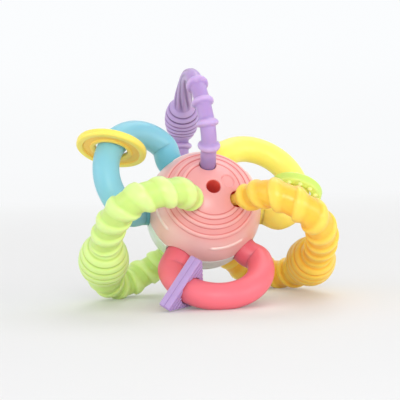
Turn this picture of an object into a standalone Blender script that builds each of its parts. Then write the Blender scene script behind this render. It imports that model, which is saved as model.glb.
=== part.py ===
"""Grasping-ball teether: a two-shell rattle ball carrying six soft loops and three loose rings.

The ball is modelled about its own centre with the pole of the upper shell along +Z, and the
finished toy is then laid on the table on the three loops that it stands on.
"""
import math

import bmesh
import bpy
from mathutils import Matrix, Vector

for old in list(bpy.data.objects):
    bpy.data.objects.remove(old, do_unlink=True)

MM = 0.001

# Clearances
FIT = 0.3 * MM              # between neighbouring pieces
RING_PLAY = 1.2 * MM        # loose discs on their loops, on the radius, which lets them lean
TRIANGLE_PLAY = 0.5 * MM    # the same for the triangular ring
CONTACT_FLAT = 0.4 * MM     # depth to which the soft loops press flat on the table

# Ball shells
BALL_R = 27.0 * MM
WALL = 2.0 * MM
SEAM_RISE = 2.2 * MM        # of the seam above the middle of the ball, towards the upper shell
SEAM_LIP = 1.0 * MM         # outer half of the rim, the rest is tongue or rebate
TONGUE_H = 1.2 * MM
SOUND_HOLE_R = 3.3 * MM
SLEEVE_WALL = 1.1 * MM
RIDGE_ANGLES = (31.0, 40.5, 51.0)
RIDGE_H = 0.6 * MM
RIDGE_HALF = 1.6            # degrees
DASH_ANGLE = 65.0
DASH_FIRST = 292.5
DASH_SPAN = 35.0
DASH_COUNT = 4
DASH_R = 0.9 * MM
DASH_H = 0.55 * MM
DIMPLE_ANGLE = 17.0
DIMPLE_AZIMUTH = 29.0
DIMPLE_R = 3.2 * MM
DIMPLE_DEPTH = 0.5 * MM
SHELL_STEPS = 28

# Textured loops, entering the ball near its two poles
HOLE_POLAR = 27.0
NECK_R = 3.5 * MM
HEAD_R = 4.4 * MM
HEAD_L = 2.1 * MM
WASHER_R = 5.0 * MM
WASHER_T = 1.5 * MM
ROOT_STRAIGHT = 1.5 * MM
ROOT_AXIS = 12.0 * MM       # distance from the pole axis at which a textured loop starts to lean
SQUARENESS = 2.6
ARCH_START = -48.0          # degrees on the arch, where the leg joins it
ROPE_ROOT_R = 2.7 * MM      # in the wall of the ball, where the hole stays a little open round it
ROPE_NECK_R = 5.2 * MM
ROPE_CORE_R = 6.4 * MM
ROPE_TAIL_R = 5.0 * MM
ROPE_RIDGE = 1.2 * MM
ROPE_PITCH = 9.9 * MM
ROPE_GROOVE_PITCH = 3.8 * MM
ROPE_BLEND = 5.0 * MM       # from the neck to the thin end of the rope
ROPE_TAPER = 25.0 * MM      # from there to its full thickness
BULB_R = 11.7 * MM
BULB_BEFORE = 17.5 * MM     # from the bulb's middle to its drawn-out end
BULB_AFTER = 12.2 * MM
BULB_CONE = 1.4 * MM        # extra thickness behind the bulb
BULB_CONE_L = 16.0 * MM
GROOVE_DEPTH = 0.6 * MM
CANE_R = 3.6 * MM
COLLAR_R = 5.2 * MM
COLLAR_PITCH = 10.4 * MM
COLLAR_HALF = 1.5 * MM
COLLAR_COUNT = 4
FLUTE_DEPTH = 0.5 * MM
FLUTE_COUNT = 6
FLUTE_L = 18.0 * MM
FLUTE_TWIST = 40.0 * MM     # length of a full turn
FLUTE_THICK = 1.0 * MM
CANE_BULB_R = 8.5 * MM
CANE_BULB_HALF = 13.0 * MM
CANE_GROOVE_PITCH = 2.7 * MM
TEXTURED_SIDES = 10
STATION = 1.98 * MM

# Smooth loops, clamped in the seam
SMOOTH_R = 6.2 * MM
SMOOTH_ARC_R = 20.8 * MM
SMOOTH_ARC_END = 95.0       # degrees each way on the arc
FLANGE_R = 7.6 * MM
FLANGE_T = 1.9 * MM

# Loose rings
DISC_R = 16.4 * MM
DISC_T = 3.2 * MM
STUD_DISC_R = 12.6 * MM
STUD_DISC_T = 4.4 * MM
STUD_R = 1.25 * MM
STUD_COUNT = 12
TRIANGLE_SIDE = 29.2 * MM
TRIANGLE_T = 5.6 * MM
TRIANGLE_CORNER_R = 1.6 * MM
TRIANGLE_RIDGE_PITCH = 2.2 * MM
TRIANGLE_RIDGE_H = 1.0 * MM
TRIANGLE_EDGE_GROOVE = 0.3 * MM
DISC_AT = -2.0              # degrees on the blue loop's arc
STUD_DISC_AT = -34.0        # on the yellow loop's arc
DISC_LEAN = (18.0, 180.0)   # degrees from square to the loop, and towards where, 0 is outward
STUD_DISC_LEAN = (19.0, -40.0)
LEAN_SHIFT = 0.25 * MM      # of a leaning disc towards the middle of the arc
TRIANGLE_AT = -55.0         # on the red loop's arc
TRIANGLE_TURN = 307.0

# Rattle
CAPSULE_R = 13.5 * MM
CAPSULE_FLAT = 0.5 * MM     # depth of the flat that bears on the sleeve
CAPSULE_WALL = 1.7 * MM
BEAD_R = 2.6 * MM
BEAD_PLANE = 6.0 * MM

# How the toy lies: the pole's compass direction, 0 along +X
POLE_AZIMUTH = -83.0

BALL_IN = BALL_R - WALL
RING_BORE = SMOOTH_R + RING_PLAY
TRIANGLE_BORE = SMOOTH_R + TRIANGLE_PLAY
CAPSULE_TOP = CAPSULE_R - CAPSULE_FLAT
TRIANGLE_IN = TRIANGLE_SIDE / (2.0 * math.sqrt(3.0))
HEAD_OUT = math.sqrt((BALL_IN - FIT) ** 2 - WASHER_R ** 2) - WASHER_T - FIT
FLANGE_OUT = math.sqrt((BALL_IN - FIT) ** 2 - FLANGE_R ** 2)
POLE = Vector((0.0, 0.0, 1.0))

# name: azimuth, arch centre, arch half width, arch half height, shear, lean at pink end, lean at mint end,
# and degrees on the arch to the bulb
TEXTURED = {
    "lilac_loop": (100.0, 38.9 * MM, 25.1 * MM, 40.1 * MM, -0.11, 3.0, -7.7, 130.0),
    "lime_loop": (220.0, 31.2 * MM, 21.3 * MM, 41.8 * MM, 0.02, -23.5, -6.0, 100.0),
    "orange_loop": (340.0, 35.7 * MM, 20.9 * MM, 46.0 * MM, -0.02, -5.8, 9.7, 106.0),
}
# name: azimuth, swing, arc centre beyond the ball, lean towards the pole, roll,
# and degrees each way to a root
SMOOTH = {
    "yellow_loop": (40.0, -6.6, 4.1 * MM, -16.8, -6.2, 36.0),
    "blue_loop": (155.0, -1.1, 5.6 * MM, 25.7, 6.7, 31.0),
    "red_loop": (280.0, 1.2, 3.0 * MM, 29.0, 1.0, 36.0),
}
COLOURS = {
    "coral": ((0.93, 0.36, 0.30), 0.35),
    "mint": ((0.60, 0.76, 0.68), 0.35),
    "lilac": ((0.57, 0.38, 0.76), 0.45),
    "lime": ((0.66, 0.90, 0.19), 0.45),
    "orange": ((0.97, 0.50, 0.06), 0.45),
    "yellow": ((0.97, 0.84, 0.09), 0.45),
    "blue": ((0.19, 0.60, 0.70), 0.45),
    "red": ((0.90, 0.13, 0.19), 0.45),
    "amber": ((0.97, 0.55, 0.06), 0.35),
    "red_plastic": ((0.72, 0.06, 0.06), 0.35),
    "white_plastic": ((0.86, 0.86, 0.84), 0.40),
}

parts = bpy.data.collections.new("grasping_ball_teether")
cutters = bpy.data.collections.new("cutters")
bpy.context.scene.collection.children.link(parts)
bpy.context.scene.collection.children.link(cutters)

pose = bpy.data.objects.new("toy_pose", None)
parts.objects.link(pose)


def make_material(name):
    colour, roughness = COLOURS[name]
    made = bpy.data.materials.new(name)
    made.use_nodes = True
    shader = made.node_tree.nodes["Principled BSDF"]
    shader.inputs["Base Color"].default_value = (*colour, 1.0)
    shader.inputs["Roughness"].default_value = roughness
    shader.inputs["Metallic"].default_value = 0.0
    return made


MATERIALS = {name: make_material(name) for name in COLOURS}


def add_object(name, mesh, material=None, parent=pose, group=parts):
    thing = bpy.data.objects.new(name, mesh)
    group.objects.link(thing)
    thing.parent = parent
    if material:
        mesh.materials.append(MATERIALS[material])
    return thing


def mesh_from(name, points, edges, faces):
    mesh = bpy.data.meshes.new(name)
    mesh.from_pydata(points, edges, faces)
    mesh.update()
    return mesh


def turned(name, profile, steps, material, parent=pose, closed=True):
    """A body turned about its own Z from (radius, height) points, listed down the outer side first."""
    points = [(r, 0.0, z) for r, z in profile]
    edges = [(i, i + 1) for i in range(len(points) - 1)]
    if closed:
        edges.append((len(points) - 1, 0))
    thing = add_object(name, mesh_from(name, points, edges, []), material, parent)
    screw = thing.modifiers.new("turn", "SCREW")
    screw.axis = "Z"
    screw.angle = math.tau
    screw.steps = steps
    screw.render_steps = steps
    screw.use_merge_vertices = True
    screw.merge_threshold = 0.00002
    return thing


def boolean(target, cutter, operation="DIFFERENCE"):
    cut = target.modifiers.new(operation.lower(), "BOOLEAN")
    cut.operation = operation
    cut.solver = "EXACT"
    cut.object = cutter
    cutter.hide_render = True
    cutter.display_type = "WIRE"


def cutter_mesh(name, build, parent=pose):
    shape = bmesh.new()
    build(shape)
    mesh = bpy.data.meshes.new(name)
    shape.to_mesh(mesh)
    shape.free()
    return add_object(name, mesh, None, parent, cutters)


def curve_body(name, spline_points, radii, depth, material, sides=4, parent=pose, group=parts):
    """A round bar along a line of points, turned into a welded mesh."""
    data = bpy.data.curves.new(name, "CURVE")
    data.dimensions = "3D"
    data.bevel_depth = depth
    data.bevel_resolution = sides
    data.use_fill_caps = True
    data.twist_mode = "MINIMUM"
    spline = data.splines.new("POLY")
    spline.points.add(len(spline_points) - 1)
    for point, place, radius in zip(spline.points, spline_points, radii):
        point.co = (*place, 1.0)
        point.radius = radius
    return curve_to_mesh(name, data, material, parent, group)


def curve_to_mesh(name, data, material, parent=pose, group=parts):
    drawn = bpy.data.objects.new(name + "_line", data)
    group.objects.link(drawn)
    bpy.context.view_layer.update()
    graph = bpy.context.evaluated_depsgraph_get()
    mesh = bpy.data.meshes.new_from_object(drawn.evaluated_get(graph))
    bpy.data.objects.remove(drawn, do_unlink=True)
    mesh.materials.clear()
    welded = bmesh.new()
    welded.from_mesh(mesh)
    bmesh.ops.remove_doubles(welded, verts=welded.verts, dist=0.00001)
    bmesh.ops.recalc_face_normals(welded, faces=welded.faces)
    welded.to_mesh(mesh)
    welded.free()
    mesh.name = name
    return add_object(name, mesh, material, parent, group)


def compass(azimuth):
    angle = math.radians(azimuth)
    return Vector((math.cos(angle), math.sin(angle), 0.0))


def from_pole(polar, azimuth):
    angle = math.radians(polar)
    return compass(azimuth) * math.sin(angle) + POLE * math.cos(angle)


def ease(low, high, value):
    part = min(max((value - low) / (high - low), 0.0), 1.0)
    return part * part * (3.0 - 2.0 * part)


def hermite(start, start_way, end, end_way, count):
    pull = (end - start).length
    line = []
    for i in range(count + 1):
        t = i / count
        line.append(
            start * (2 * t ** 3 - 3 * t ** 2 + 1)
            + start_way * pull * (t ** 3 - 2 * t ** 2 + t)
            + end * (-2 * t ** 3 + 3 * t ** 2)
            + end_way * pull * (t ** 3 - t ** 2)
        )
    return line


# Ball shells


def shell_profile(upper):
    """Section of one shell, with its ridges, its rim and the sleeve behind the sound hole."""
    outer = []
    angles = [math.degrees(math.asin(SOUND_HOLE_R / BALL_R)), 14.0, 20.5, 26.0]
    for ridge in RIDGE_ANGLES:
        angles += [(ridge - RIDGE_HALF, 0.0), (ridge - RIDGE_HALF / 2, RIDGE_H)]
        angles += [(ridge + RIDGE_HALF / 2, RIDGE_H), (ridge + RIDGE_HALF, 0.0)]
    angles += [61.0, 73.0] if upper else [60.0, 73.0, 86.0]
    for entry in angles:
        angle, lift = entry if isinstance(entry, tuple) else (entry, 0.0)
        reach = BALL_R + lift
        outer.append((reach * math.sin(math.radians(angle)), reach * math.cos(math.radians(angle))))
    seam = SEAM_RISE if upper else -SEAM_RISE
    level = seam + FIT / 2
    share = math.sqrt(BALL_R ** 2 - SEAM_RISE ** 2) / BALL_R
    rim_r, lip_r, in_r = (reach * share for reach in (BALL_R, BALL_R - SEAM_LIP, BALL_IN))
    if upper:
        rebate = seam + TONGUE_H + FIT
        rim = [(rim_r, level), (lip_r, level), (lip_r, rebate), (in_r, rebate)]
        bends = [80.0, 66.0, 52.0, 38.0, 24.0]
    else:
        tongue_r = lip_r - FIT
        tip = seam - TONGUE_H
        rim = [(rim_r, level), (tongue_r, level), (tongue_r, tip), (in_r, tip)]
        bends = [90.0, 77.0, 64.0, 51.0, 38.0, 24.0]
    sleeve_r = SOUND_HOLE_R + SLEEVE_WALL
    inner = []
    for angle in bends + [math.degrees(math.asin(sleeve_r / BALL_IN))]:
        inner.append((BALL_IN * math.sin(math.radians(angle)), BALL_IN * math.cos(math.radians(angle))))
    sleeve_end = CAPSULE_TOP + FIT
    sleeve = [(sleeve_r, sleeve_end), (SOUND_HOLE_R, sleeve_end)]
    profile = outer + rim + inner + sleeve
    if upper:
        return profile
    return [(r, -z) for r, z in reversed(profile)]


def along(direction, low, high):
    """Matrix of a unit cylinder along a direction from the ball's centre."""
    turn = direction.to_track_quat("Z", "Y").to_matrix().to_4x4()
    return Matrix.Translation(direction * (low + high) / 2) @ turn


def add_cylinder(shape, direction, radius, low, high, sides=24):
    bmesh.ops.create_cone(
        shape, cap_ends=True, segments=sides, radius1=radius, radius2=radius,
        depth=high - low, matrix=along(direction, low, high),
    )


def build_loop_holes(shape):
    for azimuth, *_ in TEXTURED.values():
        for polar in (HOLE_POLAR, 180.0 - HOLE_POLAR):
            add_cylinder(shape, from_pole(polar, azimuth), NECK_R + FIT, BALL_IN - 2 * MM, BALL_R + 3 * MM)
    for azimuth, *_, half in SMOOTH.values():
        for side in (-half, half):
            way = compass(azimuth + side)
            add_cylinder(shape, way, SMOOTH_R + FIT, BALL_IN - 4 * MM, BALL_R + 3 * MM)


def build_dimple(shape):
    way = from_pole(DIMPLE_ANGLE, DIMPLE_AZIMUTH)
    add_cylinder(shape, way, DIMPLE_R, BALL_R - DIMPLE_DEPTH, BALL_R + 3 * MM, 20)


loop_holes = cutter_mesh("loop_holes", build_loop_holes)
dimple = cutter_mesh("dimple", build_dimple)
dash_reach = BALL_R + DASH_H - DASH_R


def raised_dashes(target, polar):
    """Short raised bars in a broken ring round the shell."""
    for index in range(DASH_COUNT):
        middle = DASH_FIRST + index * 360.0 / DASH_COUNT
        line = [from_pole(polar, middle + DASH_SPAN * (i / 5 - 0.5)) * dash_reach for i in range(6)]
        bar = curve_body(
            f"{target.name}_dash_{index}", line, [1.0] * 6, DASH_R, None, 1, pose, cutters
        )
        boolean(target, bar, "UNION")


upper_shell = turned("upper_shell", shell_profile(True), SHELL_STEPS, "coral")
raised_dashes(upper_shell, DASH_ANGLE)
boolean(upper_shell, loop_holes)
boolean(upper_shell, dimple)
lower_shell = turned("lower_shell", shell_profile(False), SHELL_STEPS, "mint")
boolean(lower_shell, loop_holes)


# Textured loops


def arch_line(name):
    """Centre line of a textured loop from hole to hole, and its length at the middle of its bulb."""
    azimuth, centre, half_wide, half_high, shear, lean_pink, lean_mint, bulb_at = TEXTURED[name]
    radial = compass(azimuth)
    side = POLE.cross(radial)

    def arch(degrees):
        sine = math.sin(math.radians(degrees))
        cosine = math.cos(math.radians(degrees))
        size = (abs(sine) ** SQUARENESS + abs(cosine) ** SQUARENESS) ** (1.0 / SQUARENESS)
        height = half_high * cosine / size
        reach = centre + half_wide * sine / size + shear * height
        lean = math.radians(lean_mint + (lean_pink - lean_mint) * (height / half_high + 1.0) / 2.0)
        out = reach - ROOT_AXIS
        flat = ROOT_AXIS + out * math.cos(lean)
        return radial * flat + side * out * math.sin(lean) + POLE * height

    count = 180
    span = 180.0 - 2.0 * ARCH_START
    middle = [arch(ARCH_START + span * i / count) for i in range(count + 1)]
    pink = from_pole(HOLE_POLAR, azimuth)
    mint = from_pole(180.0 - HOLE_POLAR, azimuth)
    inside = HEAD_OUT - HEAD_L
    root = BALL_R + ROOT_STRAIGHT
    start_way = (middle[1] - middle[0]).normalized()
    end_way = (middle[-1] - middle[-2]).normalized()
    first_leg = hermite(pink * root, pink, middle[0], start_way, 24)
    last_leg = hermite(middle[-1], end_way, mint * root, -mint, 24)
    line = [pink * inside] + first_leg + middle[1:-1] + last_leg + [mint * inside]
    bulb_index = 1 + len(first_leg) + round((bulb_at - ARCH_START) / span * count) - 1
    return line, bulb_index, side


def lengths_of(line):
    total = [0.0]
    for first, second in zip(line, line[1:]):
        total.append(total[-1] + (second - first).length)
    return total


def point_at(line, lengths, place):
    for i in range(len(line) - 1):
        if lengths[i + 1] >= place or i == len(line) - 2:
            part = (place - lengths[i]) / (lengths[i + 1] - lengths[i])
            return line[i].lerp(line[i + 1], part)


def bulb_radius(place, middle, radius, before, after):
    """Egg-shaped bead on a loop, which may be drawn out before its middle; zero outside it."""
    reach = abs(place - middle) / (before if place < middle else after)
    if reach >= 1.0:
        return 0.0
    return radius * math.sqrt(1.0 - reach * reach) ** 0.9


def groove_at(place, middle, before, after, pitch):
    """Depth of the sawn-like grooves round a bulb: full at every other half pitch."""
    if abs(place - middle) > 0.78 * (before if place < middle else after):
        return 0.0
    turn = (place - middle) / pitch
    return GROOVE_DEPTH * (0.5 - 0.5 * math.cos(math.tau * turn))


def rope_radius(place, angle, total, bulb, root):
    """Loop with one coarse right-hand helical ridge, a grooved bulb and tapering ends."""
    from_end = min(place, total - place) - root
    if from_end <= 0.0:
        return ROPE_ROOT_R
    thin = ROPE_NECK_R if place < bulb else ROPE_TAIL_R
    body = ROPE_ROOT_R + (thin - ROPE_ROOT_R) * ease(0.0, ROPE_BLEND, from_end)
    body += (ROPE_CORE_R - thin) * ease(ROPE_BLEND, ROPE_BLEND + ROPE_TAPER, from_end)
    ridge = 0.5 + 0.5 * math.cos(math.tau * place / ROPE_PITCH - angle)
    away = ease(0.7 * BULB_BEFORE, BULB_BEFORE, abs(place - bulb))
    body += ROPE_RIDGE * ridge * ease(0.3 * ROPE_BLEND, 1.3 * ROPE_BLEND, from_end) * away
    if place > bulb:
        body += BULB_CONE * (1.0 - ease(BULB_AFTER, BULB_AFTER + BULB_CONE_L, place - bulb))
    bead = bulb_radius(place, bulb, BULB_R, BULB_BEFORE, BULB_AFTER)
    bead -= groove_at(place, bulb, BULB_BEFORE, BULB_AFTER, ROPE_GROOVE_PITCH)
    return max(body, bead)


def cane_radius(place, angle, total, bulb, root):
    """Thin loop with round collars, a fluted stretch, a grooved bulb and one collar behind it."""
    from_end = min(place, total - place) - root
    if from_end <= 0.0:
        return NECK_R
    body = NECK_R + (CANE_R - NECK_R) * ease(0.0, 3.0 * MM, from_end)
    for index in range(COLLAR_COUNT):
        offset = abs(place - root - COLLAR_PITCH * (index + 1.0))
        body = max(body, COLLAR_R - (COLLAR_R - CANE_R) * (offset / COLLAR_HALF) ** 2)
    tail = abs(place - bulb - CANE_BULB_HALF - 1.3 * COLLAR_HALF)
    body = max(body, COLLAR_R - (COLLAR_R - CANE_R) * (tail / COLLAR_HALF) ** 2)
    before = bulb - place
    if before > 0.0:
        thick = ease(CANE_BULB_HALF + FLUTE_L, CANE_BULB_HALF, before)
        flute = 0.5 - 0.5 * math.cos(FLUTE_COUNT * angle - math.tau * place / FLUTE_TWIST)
        body += thick * (FLUTE_THICK - FLUTE_DEPTH * flute)
    bead = bulb_radius(place, bulb, CANE_BULB_R, CANE_BULB_HALF, CANE_BULB_HALF)
    bead -= groove_at(place, bulb, CANE_BULB_HALF, CANE_BULB_HALF, CANE_GROOVE_PITCH)
    return max(body, bead)


def loop_stations(total, bulb, before, after, pitch, root, marks):
    """Places of the rings of points: a step in the neck, then even stations, finer on the bulb."""
    ends = [0.0, 0.5 * MM, HEAD_L - 0.1 * MM, HEAD_L, root * 0.6, root]
    low = bulb - before
    high = bulb + after
    places = list(ends)
    count = max(1, round((low - root) / STATION))
    places += [root + (low - root) * (i + 1) / count for i in range(count)]
    fine = pitch / 2.0
    first = int((before - 0.4 * fine) / fine)
    last = int((after - 0.4 * fine) / fine)
    places += [bulb + fine * i for i in range(-first, last + 1)]
    count = max(1, round((total - root - high) / STATION))
    places += [high + (total - root - high) * i / count for i in range(count)]
    places += [total - place for place in reversed(ends)]
    for mark in marks:
        places = [p for p in places if not 0.0 < abs(p - mark) < 0.7 * STATION]
        places += [mark]
    return sorted(set(places))


def textured_loop(name, radius_of, bulb_shape, marks, material):
    """Loft of rings of points along the arch, with a mushroom head inside the ball at each end."""
    line, bulb_index, side = arch_line(name)
    lengths = lengths_of(line)
    total = lengths[-1]
    bulb = lengths[bulb_index]
    root = BALL_R - HEAD_OUT + HEAD_L
    stations = loop_stations(total, bulb, *bulb_shape, root, marks(root, bulb))
    points = []
    faces = []
    for place in stations:
        middle = point_at(line, lengths, place)
        ahead = point_at(line, lengths, min(place + 0.5 * MM, total))
        behind = point_at(line, lengths, max(place - 0.5 * MM, 0.0))
        way = (ahead - behind).normalized()
        normal = (side - way * side.dot(way)).normalized()
        across = way.cross(normal)
        near = min(place, total - place)
        for i in range(TEXTURED_SIDES):
            angle = math.tau * i / TEXTURED_SIDES
            if near < HEAD_L - 0.05 * MM:
                radius = HEAD_R if near > 0.1 * MM else HEAD_R - 0.6 * MM
            else:
                radius = radius_of(place, angle, total, bulb, root)
            points.append(middle + (normal * math.cos(angle) + across * math.sin(angle)) * radius)
    rows = len(stations)
    sides = TEXTURED_SIDES
    for row in range(rows - 1):
        for i in range(sides):
            j = (i + 1) % sides
            faces.append((row * sides + i, row * sides + j, (row + 1) * sides + j, (row + 1) * sides + i))
    faces.append(tuple(reversed(range(sides))))
    faces.append(tuple((rows - 1) * sides + i for i in range(sides)))
    return add_object(name, mesh_from(name, points, [], faces), material)


def cane_marks(root, bulb):
    collars = [root + COLLAR_PITCH * (index + 1.0) for index in range(COLLAR_COUNT)]
    collars.append(bulb + CANE_BULB_HALF + 1.3 * COLLAR_HALF)
    return [c + shift for c in collars for shift in (-COLLAR_HALF, 0.0, COLLAR_HALF)]


def no_marks(root, bulb):
    return []


CANE_BULB = (CANE_BULB_HALF, CANE_BULB_HALF, CANE_GROOVE_PITCH)
ROPE_BULB = (BULB_BEFORE, BULB_AFTER, ROPE_GROOVE_PITCH)
lilac_loop = textured_loop("lilac_loop", cane_radius, CANE_BULB, cane_marks, "lilac")
lime_loop = textured_loop("lime_loop", rope_radius, ROPE_BULB, no_marks, "lime")
orange_loop = textured_loop("orange_loop", rope_radius, ROPE_BULB, no_marks, "orange")


def retaining_washer(name, polar, azimuth, neck, material):
    """Hard washer between the shell's wall and the head of a textured loop."""
    low = HEAD_OUT + FIT
    bore = neck + FIT
    profile = [(bore, low + WASHER_T), (WASHER_R, low + WASHER_T), (WASHER_R, low), (bore, low)]
    washer = turned(name, profile, 18, material)
    washer.matrix_local = from_pole(polar, azimuth).to_track_quat("Z", "Y").to_matrix().to_4x4()
    return washer


for loop_name, loop_values in TEXTURED.items():
    word = loop_name.split("_")[0]
    neck_r = NECK_R if word == "lilac" else ROPE_ROOT_R
    retaining_washer(word + "_washer_upper", HOLE_POLAR, loop_values[0], neck_r, "red_plastic")
    retaining_washer(word + "_washer_lower", 180.0 - HOLE_POLAR, loop_values[0], neck_r, "white_plastic")


# Smooth loops


def arc_frame(name):
    """Centre and axes of a smooth loop's round part: outward, sideways and normal to the loop."""
    azimuth, swing, offset, lean, roll, _ = SMOOTH[name]
    radial = compass(azimuth + swing)
    outward = radial * math.cos(math.radians(lean)) + POLE * math.sin(math.radians(lean))
    level = POLE.cross(radial)
    upright = outward.cross(level)
    side = level * math.cos(math.radians(roll)) + upright * math.sin(math.radians(roll))
    return radial * BALL_R + outward * offset, outward, side, outward.cross(side)


def smooth_loop(name, material):
    azimuth, *_, half = SMOOTH[name]
    hub, outward, side, _ = arc_frame(name)

    def arc(degrees):
        angle = math.radians(degrees)
        return hub + (outward * math.cos(angle) + side * math.sin(angle)) * SMOOTH_ARC_R

    def heading(degrees):
        angle = math.radians(degrees)
        return side * math.cos(angle) - outward * math.sin(angle)

    first = compass(azimuth - half)
    last = compass(azimuth + half)
    root = BALL_R + ROOT_STRAIGHT
    count = 24
    middle = [arc(SMOOTH_ARC_END * (2.0 * i / count - 1.0)) for i in range(count + 1)]
    flange_in = FLANGE_OUT - FLANGE_T
    ends = [(flange_in, FLANGE_R), (FLANGE_OUT - 0.05 * MM, FLANGE_R), (FLANGE_OUT, SMOOTH_R)]
    line = [first * reach for reach, _ in ends]
    radii = [radius for _, radius in ends]
    leg = hermite(first * root, first, middle[0], heading(-SMOOTH_ARC_END), 5)
    line += leg + middle[1:-1]
    line += hermite(middle[-1], heading(SMOOTH_ARC_END), last * root, -last, 5)
    radii += [SMOOTH_R] * (len(line) - len(radii))
    line += [last * reach for reach, _ in reversed(ends)]
    radii += [radius for _, radius in reversed(ends)]
    return curve_body(name, line, [radius / SMOOTH_R for radius in radii], SMOOTH_R, material)


yellow_loop = smooth_loop("yellow_loop", "yellow")
blue_loop = smooth_loop("blue_loop", "blue")
red_loop = smooth_loop("red_loop", "red")


# Loose rings


def ring_joint(name, loop_name):
    """Empty on the centre of a loop's arc, X outward and Z along the axis that the ring slides about."""
    hub, outward, side, normal = arc_frame(loop_name)
    joint = bpy.data.objects.new(name, None)
    parts.objects.link(joint)
    joint.parent = pose
    joint.matrix_local = Matrix.Translation(hub) @ Matrix((outward, side, normal)).transposed().to_4x4()
    return joint


def on_arc(degrees, turn=0.0, reach=SMOOTH_ARC_R):
    """Place on the arc, with Z along the loop there, turned about the loop."""
    place = Matrix.Rotation(math.radians(degrees), 4, "Z") @ Matrix.Translation((reach, 0.0, 0.0))
    return place @ Matrix.Rotation(math.radians(-90.0), 4, "X") @ Matrix.Rotation(math.radians(turn), 4, "Z")


def leaning_on_arc(degrees, lean):
    """Place of a loose disc on the arc, which leans as far as its play lets it."""
    angle, towards = (math.radians(value) for value in lean)
    tilt = Matrix.Rotation(towards, 4, "Z") @ Matrix.Rotation(angle, 4, "Y")
    return on_arc(degrees, 0.0, SMOOTH_ARC_R - LEAN_SHIFT) @ tilt @ Matrix.Rotation(-towards, 4, "Z")


def bore_edge(half):
    """Rounded side of a disc's bore, from its middle to its upper edge."""
    flat = 0.15 * half
    round_r = half - flat
    turns = [math.radians(angle) for angle in (0.0, 45.0, 90.0)]
    return [(RING_BORE + round_r * (1.0 - math.cos(t)), flat + round_r * math.sin(t)) for t in turns]


def disc_profile():
    """Plain disc with a raised rim and a raised hub on both faces."""
    half = DISC_T / 2.0
    web = half - 0.7 * MM
    rim_in = DISC_R - 3.0 * MM
    hub_out = RING_BORE + 2.4 * MM
    top = bore_edge(half - 0.1 * MM) + [(hub_out, half - 0.1 * MM), (hub_out + 0.4 * MM, web)]
    top += [(rim_in - 0.4 * MM, web), (rim_in, half), (DISC_R - 0.7 * MM, half), (DISC_R, half - 0.7 * MM)]
    return top + [(r, -z) for r, z in reversed(top)]


disc_joint = ring_joint("disc_joint", "blue_loop")
disc_ring = turned("disc_ring", disc_profile(), 32, "amber", disc_joint)
disc_ring.matrix_local = leaning_on_arc(DISC_AT, DISC_LEAN)


def stud_disc_profile():
    half = STUD_DISC_T / 2.0
    top = bore_edge(half) + [(STUD_DISC_R - 0.8 * MM, half), (STUD_DISC_R, half - 0.8 * MM)]
    return top + [(r, -z) for r, z in reversed(top)]


def build_studs(shape):
    reach = STUD_DISC_R - 1.9 * STUD_R
    for face in (-1.0, 1.0):
        for index in range(STUD_COUNT):
            angle = math.tau * (index + 0.25 * face) / STUD_COUNT
            place = (reach * math.cos(angle), reach * math.sin(angle), face * (STUD_DISC_T / 2.0 - 0.2 * MM))
            bmesh.ops.create_uvsphere(
                shape, u_segments=6, v_segments=4, radius=STUD_R, matrix=Matrix.Translation(place)
            )


stud_joint = ring_joint("stud_joint", "yellow_loop")
studded_ring = turned("studded_ring", stud_disc_profile(), 32, "lime", stud_joint)
studs = cutter_mesh("ring_studs", build_studs, stud_joint)
boolean(studded_ring, studs, "UNION")
for thing in (studded_ring, studs):
    thing.matrix_local = leaning_on_arc(STUD_DISC_AT, STUD_DISC_LEAN)


def washboard_section():
    """Section across the triangular ring: ridges on both faces and a groove along its long edge."""
    crest = TRIANGLE_T / 2.0
    valley = crest - TRIANGLE_RIDGE_H
    pitch = TRIANGLE_RIDGE_PITCH
    edge_x = TRIANGLE_IN - 0.1 * MM
    count = math.ceil(3.0 * TRIANGLE_IN / pitch) + 1
    top = []
    for index in reversed(range(count)):
        right = edge_x - pitch * index
        top += [(right - pitch, crest), (right - 0.75 * pitch, valley), (right - 0.5 * pitch, crest)]
    top.append((edge_x, crest))
    notch = TRIANGLE_EDGE_GROOVE
    edge = [(edge_x, notch), (edge_x - notch, 0.0), (edge_x, -notch)]
    return top + edge + [(x, -z) for x, z in reversed(top)]


def rounded_triangle():
    """Outline of the triangular ring, its long edge square to +X."""
    outline = []
    reach = 2.0 * (TRIANGLE_IN - TRIANGLE_CORNER_R)
    for corner in (60.0, 180.0, 300.0):
        for step in (-60.0, -30.0, 0.0, 30.0, 60.0):
            outline.append(compass(corner) * reach + compass(corner + step) * TRIANGLE_CORNER_R)
    return outline


def thick_face(name, outline, thickness, material, parent, group):
    face = mesh_from(name, outline, [], [tuple(range(len(outline)))])
    body = add_object(name, face, material, parent, group)
    plate = body.modifiers.new("thickness", "SOLIDIFY")
    plate.thickness = thickness
    plate.offset = 0.0
    return body


def build_triangle_bore(shape):
    bmesh.ops.create_cone(
        shape, cap_ends=True, segments=32, radius1=TRIANGLE_BORE, radius2=TRIANGLE_BORE,
        depth=3.0 * TRIANGLE_T,
    )


triangle_joint = ring_joint("triangle_joint", "red_loop")
board = [(x, 0.0, z) for x, z in washboard_section()]
triangle_ring = thick_face("triangle_ring", board, 2.0 * TRIANGLE_SIDE, "lilac", triangle_joint, parts)
triangle_outline = thick_face(
    "triangle_outline", rounded_triangle(), 2.0 * TRIANGLE_T, None, triangle_joint, cutters
)
triangle_bore = cutter_mesh("triangle_bore", build_triangle_bore, triangle_joint)
boolean(triangle_ring, triangle_outline, "INTERSECT")
boolean(triangle_ring, triangle_bore)
for thing in (triangle_ring, triangle_outline, triangle_bore):
    thing.matrix_local = on_arc(TRIANGLE_AT, TRIANGLE_TURN)


# Rattle in the middle of the ball


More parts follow.
